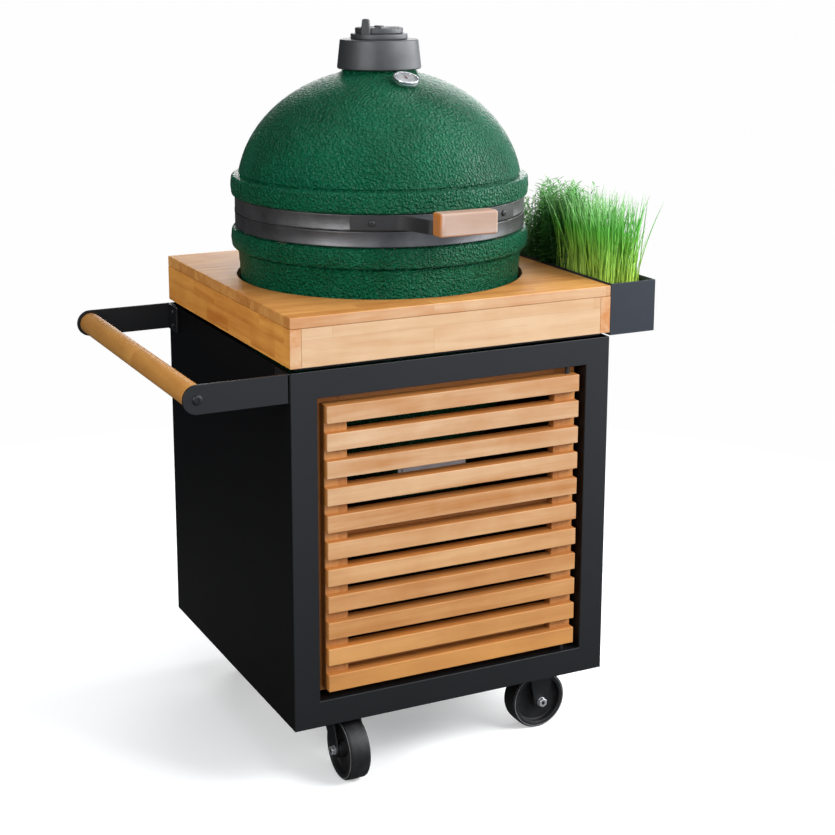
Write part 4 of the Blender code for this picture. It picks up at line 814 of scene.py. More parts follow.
def hingeBracket(name, node, body, lugAt):
    bandLow, bandHigh = (span("lower_band") if body == "cart" else span("upper_band"))[:2]
    trim, inner = band["trim"], band["outer"] + touching
    outer = inner + band["plate"]
    start, end = 90 - band["halfAngle"], 90 + band["halfAngle"]
    outline = arc(eggAt[:2], outer, start, end, 24) + arc(eggAt[:2], inner, end, start, 24)
    plateLow, plateHigh = bandLow.z + 2 * trim, bandHigh.z - trim
    plate = pressed(name, outline, plateLow, plateHigh, "XY", 0.0007)
    pieces = [plate]
    root = eggAt[1] + math.sqrt(band["outer"] ** 2 - lugAt ** 2) + 0.7 * band["plate"]
    inset = 0.1 * (bandHigh.z - bandLow.z)
    for side in (-1, 1):
        middleX = eggAt[0] + side * lugAt
        shape = lugOutline((root, bandLow.z + inset), (root, bandHigh.z - inset), (pinAt.y, pinAt.z),
                           band["eye"])
        pieces.append(pressed("lug", shape, middleX - band["lug"] / 2, middleX + band["lug"] / 2, "YZ",
                              0.0006))
        angle = math.radians(90 + side * 14.5)
        facing = Vector((math.cos(angle), math.sin(angle), 0))
        place = Vector((*eggAt[:2], (plateLow + plateHigh) / 2)) + facing * (outer - 0.0002)
        pieces.append(panHead("bolt", place, facing, 0.0062, 0.0038))
    return settled(joined(name, pieces), finishes["bracket"], body, "band_steel", node)


def coilSpring():
    # a round wire wound about the hinge pin
    length = 2 * (band["domeLug"] - band["lug"] / 2) - 0.006
    bpy.ops.object.select_all(action="DESELECT")
    bpy.ops.mesh.primitive_circle_add(vertices=8, radius=band["wire"],
                                      location=(band["coil"], 0, -length / 2),
                                      rotation=(math.radians(90), 0, 0))
    spring = bpy.context.object
    bpy.ops.object.transform_apply(location=True, rotation=True, scale=True)
    modified(spring, "SCREW", steps=20, render_steps=20, iterations=band["turns"],
             screw_offset=length / band["turns"], use_merge_vertices=False)
    bpy.ops.object.mode_set(mode="EDIT")
    bpy.ops.mesh.select_all(action="SELECT")
    bpy.ops.mesh.fill_holes(sides=8)
    tidied()
    spring.name = "hinge_spring"
    placed(spring, Matrix.Translation(pinAt) @ Matrix.Rotation(math.radians(90), 4, "Y"))
    return settled(smooth(spring, 60), finishes["zinc"], "cart", "bright_steel")


def hingePin():
    low, high = span("hinge_pin")[:2]
    half, head, radius = (high.x - low.x) / 2, band["lug"] / 2, band["pin"]
    outline = [(0, -half)] + arc((radius * 1.3, -half + 0.001), 0.001, -90, 0, 3)
    outline += [(radius * 1.6, -half + head), (radius, -half + head), (radius, half - head),
                (radius * 1.6, half - head)]
    outline += arc((radius * 1.3, half - 0.001), 0.001, 0, 90, 3) + [(0, half)]
    pin = turned("hinge_rod", outline, 32)
    placed(pin, Matrix.Translation(pinAt) @ Matrix.Rotation(math.radians(90), 4, "Y"))
    return settled(pin, finishes["zinc"], "cart", "bright_steel", "hinge_pin")


def handle():
    low, high, middle = span("handle_bracket")
    grip = {"edge": 0.0042, "strap": 0.004, "standOff": 0.016, "boltAngle": 28, "boltRadius": 0.0056}
    gripLow, gripHigh, gripMiddle = span("handle_grip")
    back = gripHigh.y + touching
    inner = band["outer"] + touching
    half = gripHigh.x - gripMiddle.x
    left = arc(eggAt[:2], inner, 234, 251, 10)
    left += curved(left[-1], (eggAt[0] - half * 1.22, eggAt[1] - inner * 1.005),
                   (eggAt[0] - half * 1.06, back + 0.016), 4)
    left += curved(left[-1], (eggAt[0] - half * 1.02, back), (eggAt[0] - half * 0.86, back), 4)
    mirrorX = 2 * eggAt[0]
    path = left + [(mirrorX - x, y) for x, y in left[::-1]]
    outerSide = []
    for index, point in enumerate(path):
        run = Vector(path[min(index + 1, len(path) - 1)]) - Vector(path[max(index - 1, 0)])
        run.normalize()
        outerSide.append((point[0] + grip["strap"] * run.y, point[1] - grip["strap"] * run.x))
    strap = pressed("handle_strap", path + outerSide[::-1], low.z, high.z, "XY", 0.0008)
    pieces = [strap]
    for side in (-1, 1):
        angle = math.radians(270 + side * grip["boltAngle"])
        facing = Vector((math.cos(angle), math.sin(angle), 0))
        place = Vector((*eggAt[:2], middle.z)) + facing * (inner + grip["strap"] - 0.0002)
        pieces.append(panHead("bolt", place, facing, grip["boltRadius"], 0.0036))
        place = (gripMiddle.x + side * half * 0.62, back + 0.0038, gripMiddle.z)
        pieces.append(panHead("bolt", place, (0, 1, 0), 0.005, 0.003))
    settled(joined("handle_strap", pieces), finishes["bracket"], "dome", "band_steel", "handle_bracket")
    wood = block("handle_grip_wood", gripLow, gripHigh, grip["edge"], 6)
    settled(wood, finishes["gripWood"], "dome", "bar_wood", "handle_grip")


bandRing("lower_band_ring", "lower_band", "cart", "shadedLowerBand")
bandRing("upper_band_ring", "upper_band", "dome", "upperBand")
hingeBracket("hinge_lower_half", "hinge_base_bracket", "cart", band["baseLug"])
hingeBracket("hinge_upper_half", "hinge_dome_bracket", "dome", band["domeLug"])
hingePin()
coilSpring()
handle()
print("bands, hinge and handle fitted")


def thermometer():
    dial = {"radius": 0.0235, "deep": 0.011, "rim": 0.003, "stem": 0.0035, "stemLength": 0.050,
            "face": 0.0044, "ticks": 28, "sweep": 270}
    turn = math.asin(-joints["needle_turn"]["axis"][1])
    seat = Vector(joints["needle_turn"]["pos_m"])
    stand = Matrix.Translation(seat) @ Matrix.Rotation(turn, 4, "X")
    radius, deep, inside = dial["radius"], dial["deep"], dial["radius"] - dial["rim"]
    case = [(0, -dial["stemLength"])] + curved((0, -dial["stemLength"]), (dial["stem"], -dial["stemLength"]),
                                               (dial["stem"], -dial["stemLength"] + 0.005), 4)
    case += [(dial["stem"], -0.001), (0.009, -0.001), (0.009, 0.0005), (radius - 0.002, 0.0005)]
    case += arc((radius - 0.0015, 0.002), 0.0015, -90, 0, 4)
    case += [(radius, deep * 0.5), (radius - 0.0007, deep * 0.55), (radius - 0.0007, deep * 0.82)]
    case += arc((radius - 0.0022, deep - 0.0015), 0.0015, 0, 90, 4)
    case += [(inside, deep - 0.0004), (inside, dial["face"]), (0, dial["face"])]
    settled(placed(turned("thermometer_bezel", case, 72), stand), finishes["chrome"], "dome", "bright_steel",
            "thermometer_case")
    paper = [(0, dial["face"] - 0.0002), (inside - 0.0002, dial["face"] - 0.0002),
             (inside - 0.0002, dial["face"] + 0.0003), (0, dial["face"] + 0.0003)]
    settled(placed(turned("thermometer_dial", paper, 72), stand), finishes["dial"], "dome", "bright_steel")
    marks = []
    for index in range(dial["ticks"] + 1):
        long = index % 4 == 0
        wide, reach = (0.0005, 0.0042) if long else (0.00025, 0.0024)
        mark = block("mark", (-wide, inside - 0.0012 - reach, dial["face"] + 0.0002),
                     (wide, inside - 0.0012, dial["face"] + 0.0004))
        angle = math.radians(-dial["sweep"] / 2 + dial["sweep"] * index / dial["ticks"])
        marks.append(placed(mark, stand @ Matrix.Rotation(angle, 4, "Z")))
    settled(joined("thermometer_ticks", marks), finishes["ink"], "dome", "bright_steel")
    tip = inside * 0.8
    pointer = pressed("thermometer_pointer", [(-0.0011, -0.005), (0.0011, -0.005), (0.0007, 0.004),
                                              (0.00015, tip), (-0.00015, tip), (-0.0007, 0.004)],
                      dial["face"] + 0.0008, dial["face"] + 0.0013, "XY", 0.0001)
    hub = turned("hub", [(0, dial["face"] + 0.0006), (0.0021, dial["face"] + 0.0006),
                         (0.0021, dial["face"] + 0.0017),
                         (0.0014, dial["face"] + 0.0022), (0, dial["face"] + 0.0022)], 32)
    whole = placed(joined("thermometer_pointer", [pointer, hub]), stand)
    settled(whole, finishes["redInk"], "needle", "dark_steel", "thermometer_needle")
    edge, low = inside - 0.0003, deep - 0.0027
    crown = [(edge, low + 0.0012)] + curved((edge, low + 0.0012), (edge * 0.6, low + 0.0034),
                                            (0, low + 0.0036), 8)
    under = [(0, low + 0.0024)] + curved((0, low + 0.0024), (edge * 0.6, low + 0.0022), (edge, low), 8)
    settled(placed(turned("thermometer_glass", crown + under, 72), stand), finishes["glass"], "dome", "glass",
            "thermometer_lens")


def ventSlots(low, high, wheel):
    tools = []
    ends = wheel * 0.14
    oval = arc((wheel * 0.84, 0), ends, -90, 90, 10) + arc((wheel * 0.40, 0), ends, 90, 270, 10)
    for index in range(6):
        slot = pressed("slot", oval, low, high, "XY")
        tools.append(placed(slot, Matrix.Rotation(math.radians(60 * index), 4, "Z")))
    return placed(joined("slots", tools), Matrix.Translation(eggAt))


def flatDisc(low, high, radius, rim, topRim=None, steps=4):
    # the outline of a round plate with rounded edges, up to where its top face starts
    topRim = topRim or rim
    outline = [(0, low), (radius - rim, low)] + arc((radius - rim, low + rim), rim, -90, 0, 4)
    return outline + arc((radius - topRim, high - topRim), topRim, 0, 90, steps)


def ventCap():
    cap = {"neck": 0.0645, "low": 0.0755, "high": 0.0705, "wall": 0.006, "throat": 0.038, "disc": 0.051,
           "wheel": 0.043, "edge": 0.0014, "tabAngle": 215, "tabWide": 0.018, "stud": 0.004}
    low = span("cap_collar")[0]
    discLow, discTop = span("cap_disc")[:2]
    wheelLow, wheelTop = span("vent_wheel")[:2]
    top = discLow.z - touching
    shelf = span("dome_shell")[1].z + touching
    bore, edge = cap["neck"] + 0.0006, cap["edge"] * 2
    inside = cap["high"] - 1.8 * cap["wall"]
    outline = [(bore, low.z)] + arc((cap["low"] - edge, low.z + edge), edge, -90, 0, 6)
    outline += arc((cap["high"] - edge, top - edge), edge, 4, 90, 7)
    outline += [(cap["throat"] + 0.001, top), (cap["throat"], top - 0.001),
                (cap["throat"], top - cap["wall"]), (inside, top - cap["wall"]), (inside, shelf),
                (bore, shelf)]
    collar = turned("cap_collar_casting", outline, 192, ring=True, at=eggAt)
    pivot = Vector(joints["cap_swing"]["pos_m"])
    discHigh = discLow.z + 0.0095
    stud = turned("stud", [(0, top - 0.003), (cap["stud"], top - 0.003), (cap["stud"], discHigh + 0.0003),
                           (0.0064, discHigh + 0.0003), (0.0064, discHigh + 0.0016),
                           (0.0052, discHigh + 0.0023), (0, discHigh + 0.0023)], 32, at=(pivot.x, pivot.y, 0))
    settled(joined("cap_collar_casting", [collar, stud]), finishes["cap"], "dome", "cap_metal", "cap_collar")

    rim = cap["edge"]
    plate = turned("cap_slide", flatDisc(discLow.z, discHigh, cap["disc"], rim) + [(0, discHigh)], 160,
                   at=eggAt)
    ear = turned("ear", [(0, discLow.z + 0.0001), (0.0092, discLow.z + 0.0001), (0.0092, discHigh - 0.0011),
                         (0.0082, discHigh - 0.0001), (0, discHigh - 0.0001)], 40, at=(pivot.x, pivot.y, 0))
    boolean(plate, ear, "UNION")
    boolean(plate, rod("bore", (pivot.x, pivot.y, discLow.z - 0.01), (pivot.x, pivot.y, discHigh + 0.01),
                       cap["stud"] + 0.0004, 0.0001, 24))
    boolean(plate, ventSlots(discLow.z - 0.005, discHigh + 0.005, cap["wheel"]))
    smooth(plate, 34)
    wide, narrow = cap["tabWide"] / 2, cap["tabWide"] * 0.33
    rise = discTop.z
    shape = [(-wide, discHigh - 0.003), (wide, discHigh - 0.003), (wide * 0.96, discHigh + 0.006)]
    shape += arc((narrow - 0.003, rise - 0.004), 0.004, 10, 90, 5)
    shape += arc((-narrow + 0.003, rise - 0.004), 0.004, 90, 170, 5)
    shape += [(-wide * 0.96, discHigh + 0.006)]
    tab = pressed("tab", [(-y, z) for y, z in shape], cap["wheel"] + 0.0012, cap["disc"] - 0.0012, "YZ",
                  0.0013, 3)
    placed(tab, Matrix.Translation(eggAt) @ Matrix.Rotation(math.radians(cap["tabAngle"]), 4, "Z"))
    settled(joined("cap_slide", [plate, tab]), finishes["cap"], "cap", "cap_metal", "cap_disc")

    lift = wheelLow.z + 0.0105
    knob = [(0.0100, lift), (0.0092, lift + 0.0006), (0.0086, wheelTop.z - 0.0008), (0.0072, wheelTop.z),
            (0, wheelTop.z)]
    dial = flatDisc(wheelLow.z, lift, cap["wheel"], rim, rim * 1.6, 5)
    disc = turned("vent_dial", dial + knob, 160, at=eggAt)
    boolean(disc, ventSlots(wheelLow.z - 0.005, lift + 0.005, cap["wheel"]))
    smooth(disc, 34)
    settled(disc, finishes["cap"], "vent", "cap_metal", "vent_wheel")


thermometer()
ventCap()
print("thermometer and vent cap fitted")


def fireParts():
    fire = {"foot": 0.0865, "clearance": 0.008, "wall": 0.016, "thick": 0.028, "hole": 0.060,
            "steps": 160, "chip": 0.002, "flare": 0.0063}
    eggLow = span("base_shell")[0].z
    depth = worktopZ - eggLow - egg["floor"]
    rim = egg["atWorktop"] - egg["wall"]

    def cavity(z):
        return fire["foot"] + (rim - fire["foot"]) * math.sqrt(1 - ((worktopZ - z) / depth) ** 2)

    low, high = span("fire_box")[:2]
    heights = [low.z + 0.02 + (high.z - 0.004 - low.z - 0.02) * step / 12 for step in range(13)]
    outside = [(cavity(z) - fire["clearance"], z) for z in heights]
    topRadius = outside[-1][0]
    chip = fire["chip"]
    outline = [(fire["foot"] - fire["clearance"], low.z)] + outside + [(topRadius - chip, high.z)]
    outline += [(topRadius - fire["wall"] + chip, high.z)]
    outline += [(r - fire["wall"], z) for r, z in outside[::-1] if z > low.z + fire["thick"]]
    outline += [(fire["hole"] + chip, low.z + fire["thick"]), (fire["hole"], low.z + fire["thick"] - chip),
                (fire["hole"], low.z)]
    pot = turned("fire_pot", outline, fire["steps"], ring=True, at=eggAt)
    notch = fire["hole"] * 0.6
    boolean(pot, block("notch", (eggAt[0] - notch, eggAt[1] - 0.25, low.z - 0.01),
                       (eggAt[0] + notch, eggAt[1], low.z + 0.0196)))
    settled(smooth(pot, 40), finishes["clay"], "cart", "fire_clay", "fire_box")

    low, high = span("fire_ring")[:2]
    outer = high.x - eggAt[0]
    ring = [(outer - fire["flare"], low.z), (outer - chip / 2, high.z - chip), (outer - chip, high.z),
            (outer - fire["wall"] + chip, high.z), (outer - fire["wall"], high.z - chip),
            (outer - fire["flare"] - fire["wall"], low.z)]
    settled(turned("fire_collar", ring, fire["steps"], ring=True, at=eggAt), finishes["clay"], "cart",
            "fire_clay", "fire_ring")

    low, high = span("charcoal_grate")[:2]
    radius, edge = high.x - eggAt[0], 0.0016
    outline = [(0, low.z), (radius - edge, low.z)] + arc((radius - edge, low.z + edge), edge, -90, 0, 3)
    outline += arc((radius - edge, high.z - edge), edge, 0, 90, 3) + [(0, high.z)]
    plate = turned("ember_grate", outline, 96, at=eggAt)
    slots = []
    for index in range(-2, 3):
        reach = radius * (0.74 - 0.09 * abs(index))
        x = index * radius * 0.32
        outline = arc((x, reach), 0.004, 0, 180, 8) + arc((x, -reach), 0.004, 180, 360, 8)
        slots.append(pressed("slot", outline, low.z - 0.01, high.z + 0.01, "XY"))
    boolean(plate, placed(joined("slots", slots), Matrix.Translation(eggAt)))
    settled(smooth(plate, 40), finishes["iron"], "cart", "cast_iron", "charcoal_grate")


def cookingGrid():
    grid = {"pitch": 0.024, "wire": 0.0025, "rimWire": 0.0029, "cross": 0.105}
    low, high, middle = span("cooking_grid")
    rimRadius = high.x - eggAt[0] - grid["rimWire"]
    hoop = arc((rimRadius, middle.z), grid["rimWire"], 0, 330, 11)
    pieces = [turned("rim", hoop, 160, ring=True, at=eggAt)]
    count = int(rimRadius / grid["pitch"])
    for index in range(-count, count + 1):
        x = index * grid["pitch"]
        reach = math.sqrt(rimRadius ** 2 - x ** 2)
        if reach > 0.02:
            pieces.append(rod("wire", (eggAt[0] + x, eggAt[1] - reach, high.z - grid["wire"]),
                              (eggAt[0] + x, eggAt[1] + reach, high.z - grid["wire"]), grid["wire"], 0.001,
                              10))
    for y in (-grid["cross"], grid["cross"]):
        reach = math.sqrt(rimRadius ** 2 - y ** 2)
        pieces.append(rod("brace", (eggAt[0] - reach, eggAt[1] + y, low.z + 0.0021),
                          (eggAt[0] + reach, eggAt[1] + y, low.z + 0.0021), 0.002, 0.001, 10))
    settled(joined("wire_grid", pieces), finishes["rods"], "cart", "stainless", "cooking_grid")


def windowed(name, low, high, border, axis="Y"):
    # a plate with a rectangular opening through it
    plate = block(name, low, high)
    through = "XYZ".index(axis)
    facesPicked(plate, lambda normal: abs(normal[through]) > 0.9)
    bpy.ops.mesh.inset(thickness=border)
    bpy.ops.mesh.bridge_edge_loops()
    tidied()
    return plate


def draftSlide():
    draft = {"port": (0.055, 0.020), "plate": 0.003, "rail": 0.0024, "lip": 0.007, "web": 0.003,
             "knob": 0.006}
    low, high, middle = span("draft_frame")
    front = high.y - draft["plate"]
    plate = block("draft_surround", (low.x, front, low.z), high)
    opening = block("opening", (middle.x - draft["port"][0], front - 0.01, middle.z - draft["port"][1]),
                    (middle.x + draft["port"][0], high.y + 0.01, middle.z + draft["port"][1]))
    pieces = [eased(boolean(plate, opening), 0.0005)]
    for edge, inward in ((low.z, 1), (high.z, -1)):
        a, b = sorted((edge, edge + inward * draft["web"]))
        pieces.append(block("web", (low.x, low.y, a), (high.x, front + 0.0003, b), 0.0004))
        a, b = sorted((edge, edge + inward * draft["lip"]))
        pieces.append(block("rail", (low.x, low.y, a), (high.x, low.y + draft["rail"], b), 0.0006))
    settled(joined("draft_surround", pieces), finishes["stainless"], "cart", "stainless", "draft_frame")
    low, high, middle = span("draft_door")
    leaf = block("draft_leaf", (low.x, high.y - 0.002, low.z), high, 0.0004)
    knobX = low.x + 1.5 * draft["knob"]
    outline = [(0, 0), (0.0032, 0), (0.0032, 0.004), (0.006, 0.006), (0.006, 0.0092), (0.0048, 0.0104),
               (0, 0.0108)]
    knob = turned("knob", outline, 40)
    reach = (high.y - 0.002 - low.y) / 0.0108
    place = Matrix.Translation((knobX, high.y - 0.002, middle.z)) @ Matrix.Rotation(math.radians(90), 4, "X")
    placed(knob, place @ Matrix.Diagonal((1, 1, reach, 1)))
    settled(joined("draft_leaf", [leaf, knob]), finishes["stainless"], "draft", "stainless", "draft_door")


fireParts()
cookingGrid()
draftSlide()
print("fire pot, grids and draft slide fitted")


def cabinet():
    steel = {"edge": 0.0012, "border": 0.047, "sheet": 0.003, "screw": 0.0042}
    for name, node in (("side_panel_left", "cabinet_left"), ("side_panel_right", "cabinet_right"),
                       ("back_panel", "cabinet_back"), ("floor_panel", "cabinet_floor")):
        low, high, middle = span(node)
        panel = block(name, low, high, steel["edge"], 3)
        # these panels take the darker copy of the powder coat as painted shade
        settled(panel, finishes["shadedSidePanel"], "cart", "dark_steel", node)
    low, high, middle = span("front_frame")
    sheet, border = steel["sheet"], steel["border"]
    face = eased(windowed("front_surround", low, (high.x, low.y + sheet, high.z), border), 0.0011, 3)
    inset = border - sheet
    lip = windowed("lip", (low.x + inset, low.y + sheet / 2, low.z + inset),
                   (high.x - inset, high.y, high.z - inset), sheet)
    settled(joined("front_surround", [face, eased(lip, 0.0006)]), finishes["cabinet"], "cart", "dark_steel",
            "front_frame")
    low, high, middle = span("egg_shelf")
    shelf = [block("carrying_shelf", (low.x, low.y, high.z - sheet), high, 0.0009)]
    for y in (low.y, high.y - sheet):
        shelf.append(block("fold", (low.x, y, low.z), (high.x, y + sheet, high.z - sheet / 2), 0.0009))
    settled(joined("carrying_shelf", shelf), finishes["cabinet"], "cart", "dark_steel", "egg_shelf")
    low, high, middle = span("top_spacer")
    spacer = windowed("shadow_spacer", low, high, 0.025, "Z")
    settled(eased(spacer, 0.0005), finishes["cabinet"], "cart", "dark_steel", "top_spacer")
    low, high, middle = span("cabinet_back")
    screws = []
    for x in (low.x + 0.02, middle.x, high.x - 0.02):
        for z in (low.z + 0.02, middle.z, high.z - 0.02):
            screws.append(panHead("screw", (x, high.y - 0.0003, z), (0, 1, 0), steel["screw"], 0.0021))
    settled(joined("back_panel_screws", screws), finishes["screws"], "cart", "dark_steel")


def worktop():
    wood = {"edge": 0.0016, "apronEdge": 0.0007, "hole": 0.2605}
    low, high = span("top_slab")[:2]
    slab = block("worktop_boards", low, high)
    tool = turned("hole", [(0, low.z - 0.01), (wood["hole"], low.z - 0.01), (wood["hole"], high.z + 0.01),
                           (0, high.z + 0.01)], 288, at=eggAt)
    eased(boolean(slab, tool), wood["edge"], 3, 40)
    settled(slab, finishes["slabWood"], "cart", "worktop_wood", "top_slab")
    for side in ("left", "right", "front", "back"):
        low, high = span(f"apron_{side}")[:2]
        finish = "sheenPaleApronWood" if side in ("front", "back") else "sideApronWood"
        board = block(f"apron_board_{side}", low, high, wood["apronEdge"], 3)
        settled(board, finishes[finish], "cart", "worktop_wood", f"apron_{side}")


def planter():
    tub = {"sheet": 0.002, "edge": 0.0007, "soilMounds": (0.028, 0.008), "soilCrumbs": (0.005, 0.0045)}
    low, high = span("planter_box")[:2]
    trough = block("planter_trough", low, high)
    facesPicked(trough, lambda normal: normal.z > 0.9)
    bpy.ops.mesh.inset(thickness=tub["sheet"])
    depth = high.z - low.z - tub["sheet"]
    bpy.ops.mesh.extrude_region_move(TRANSFORM_OT_translate={"value": (0, 0, -depth)})
    tidied()
    eased(trough, tub["edge"], 3)
    settled(trough, finishes["planter"], "cart", "planter_steel", "planter_box")

    low, high, middle = span("planter_soil")
    bpy.ops.object.select_all(action="DESELECT")
    bpy.ops.mesh.primitive_grid_add(x_subdivisions=34, y_subdivisions=220, size=1,
                                    location=(middle.x, middle.y, low.z))
    soil = bpy.context.object
    soil.name = "soil_bed"
    soil.scale = (high.x - low.x, high.y - low.y, 1)
    bpy.ops.object.transform_apply(location=True, rotation=True, scale=True)
    bpy.ops.object.mode_set(mode="EDIT")
    bpy.ops.mesh.select_all(action="SELECT")
    bpy.ops.mesh.extrude_region_move(TRANSFORM_OT_translate={"value": (0, 0, high.z - low.z - 0.003)})
    tidied()
    top = soil.vertex_groups.new(name="top")
    top.add([v.index for v in soil.data.vertices if v.co.z > middle.z
             and low.x + 0.001 < v.co.x < high.x - 0.001
             and low.y + 0.001 < v.co.y < high.y - 0.001], 1.0, "REPLACE")
    for name in ("soilMounds", "soilCrumbs"):
        wave, tall = tub[name]
        lumps = bpy.data.textures.new(name, "CLOUDS")
        lumps.noise_scale = wave
        modified(soil, "DISPLACE", texture=lumps, vertex_group="top", direction="Z", strength=tall,
                 mid_level=0.5)
    settled(smooth(soil, 60), finishes["soil"], "cart", "soil", "planter_soil")


cabinet()
worktop()
planter()
print("cabinet, worktop and planter fitted")


growing = random.Random(11)


def blade(name, tall, wide, lean):
    # one leaf of three sides that bends over, drawn up from the soil
    bpy.ops.object.select_all(action="DESELECT")
    bpy.ops.mesh.primitive_circle_add(vertices=3, radius=wide, fill_type="NGON")
    stem = bpy.context.object
    stem.name = name
    bpy.ops.object.mode_set(mode="EDIT")
    bpy.ops.mesh.select_all(action="SELECT")
    widths = (1.0, 1.0, 0.98, 0.94, 0.86, 0.7, 0.12)    # shares of the width, from the soil to the tip
    lengths = len(widths) - 1
    for step in range(lengths):
        across = lean * (((step + 1) / lengths) ** 2 - (step / lengths) ** 2)
        bpy.ops.mesh.extrude_region_move(TRANSFORM_OT_translate={"value": (across, 0, tall / lengths)})
        share = widths[step + 1] / widths[step]
        bpy.ops.transform.resize(value=(share, share, 1))
    tidied()
    return smooth(stem, 80)


def scattered(name, models, spots, finish, *nodes):
    # copies of the models at their spots: (which, place, heading, lean, size)
    plants = []
    for which, place, heading, lean, size in spots:
        turn = Matrix.Rotation(heading, 4, "Z") @ Matrix.Rotation(lean, 4, "Y")
        turn = turn @ Matrix.Diagonal((size, size, size, 1))
        plants.append(copied(models[which], "sprout", Matrix.Translation(place) @ turn))
    for model in models:
        bpy.data.objects.remove(model)
    return settled(joined(name, plants), finishes[finish], "cart", "leaf", *nodes)


def chives():
    low, middle = span("chives")[::2]
    bed = {"count": 760, "clumps": 12, "long": 0.165, "spread": 0.010, "wide": 0.0012}
    boxLow, boxHigh = span("planter_box")[:2]
    models = [blade(f"chive{index}", 0.172, bed["wide"], lean)
              for index, lean in enumerate((0.004, 0.014, 0.024, 0.036, -0.010, 0.018))]
    clumps = []
    for index in range(bed["clumps"]):
        along = low.y + 0.010 + bed["long"] * (index // 2 + 0.5) / (bed["clumps"] / 2)
        clumps.append((middle.x + (0.018 if index % 2 else -0.018) + growing.uniform(-0.006, 0.006),
                       along + growing.uniform(-0.006, 0.006)))
    spots = []
    for index in range(bed["count"]):
        x, y = clumps[index % bed["clumps"]]
        x += growing.gauss(0, bed["spread"])
        y += growing.gauss(0, bed["spread"])
        x = min(max(x, boxLow.x + 0.008), boxHigh.x - 0.006)
        outward = math.atan2(y - low.y - bed["long"] / 2, x - middle.x + growing.uniform(-0.02, 0.02))
        heading = outward + growing.gauss(0, 1.5)
        tilt = min(abs(growing.gauss(0, math.radians(6))), math.radians(9))
        size = growing.uniform(0.5, 0.98)
        spots.append((growing.randrange(6), (x, y, soilTop - 0.006), heading, tilt, size))
    scattered("chive_leaves", models, spots, "chive", "chives")


def sprig(name, tall, leaves, long, wide, droop):
    # a stem with small pointed leaves all the way up
    stem = blade(name, tall, 0.0009, tall * 0.12)
    outline = [(0, 0), (0.3 * long, 0.5 * wide), (0.7 * long, 0.4 * wide), (long, 0),
               (0.7 * long, -0.4 * wide), (0.3 * long, -0.5 * wide)]
    leaf = pressed("leaf", outline, 0.0, 0.08 * wide, "XY")
    for vert in leaf.data.vertices:
        vert.co.z += abs(vert.co.y) * 0.5 - droop * vert.co.x ** 2 / long
    smooth(leaf, 80)
    parts = [stem]
    for index in range(leaves):
        t = 0.12 + 0.88 * index / leaves
        place = Matrix.Translation((tall * 0.12 * t * t, 0, tall * t))
        turn = Matrix.Rotation(2.4 * index, 4, "Z") @ Matrix.Rotation(-0.75 + 0.5 * (1 - t), 4, "Y")
        size = (1 - 0.45 * t) * growing.uniform(0.8, 1.2)
        parts.append(copied(leaf, "leaf", place @ turn @ Matrix.Diagonal((size, size, size, 1))))
    bpy.data.objects.remove(leaf)
    return joined(name, parts)


def leaning(x, edge, spread):
    # a lean that points away from a wall of the box when the plant stands near it
    heading = math.pi * (x > edge) + growing.gauss(0, 1.2)
    return heading, min(abs(growing.gauss(0, spread)), 0.24)


def bushyHerbs():
    low, high, middle = span("leafy_herbs")
    bushes = {"tall": (0.130, 0.148, 0.163, 0.176), "count": 200, "from": -0.125, "long": 0.15,
              "leaf": (0.027, 0.0036)}
    thyme = {"tall": (0.085, 0.105, 0.120), "count": 170, "from": 0.0, "leaf": (0.0095, 0.0062)}
    models = [sprig("bush", tall, 42, *bushes["leaf"], 0.25) for tall in bushes["tall"]]
    spots = []
    for index in range(bushes["count"]):
        x = middle.x + growing.uniform(-0.034, 0.026)
        y = low.y + bushes["from"] + growing.random() * bushes["long"]
        heading, lean = leaning(x, middle.x, 0.13)
        spots.append((growing.randrange(4), (x, y, soilTop - 0.005), heading, lean,
                      growing.uniform(0.7, 1.0)))
    scattered("bushy_herb", models, spots, "bush", "leafy_herbs")
    models = [sprig("thyme", tall, 24, *thyme["leaf"], 0.1) for tall in thyme["tall"]]
    spots = []
    for index in range(thyme["count"]):
        y = low.y + thyme["from"] + growing.random() * (high.y - low.y - thyme["from"] - 0.015)
        x = middle.x + growing.uniform(-0.034, 0.026)
        heading, lean = leaning(x, middle.x, 0.2)
        spots.append((growing.randrange(3), (x, y, soilTop - 0.005), heading, lean,
                      growing.uniform(0.75, 1.1)))
    scattered("thyme_bush", models, spots, "thyme")


chives()
bushyHerbs()
print("herbs planted")


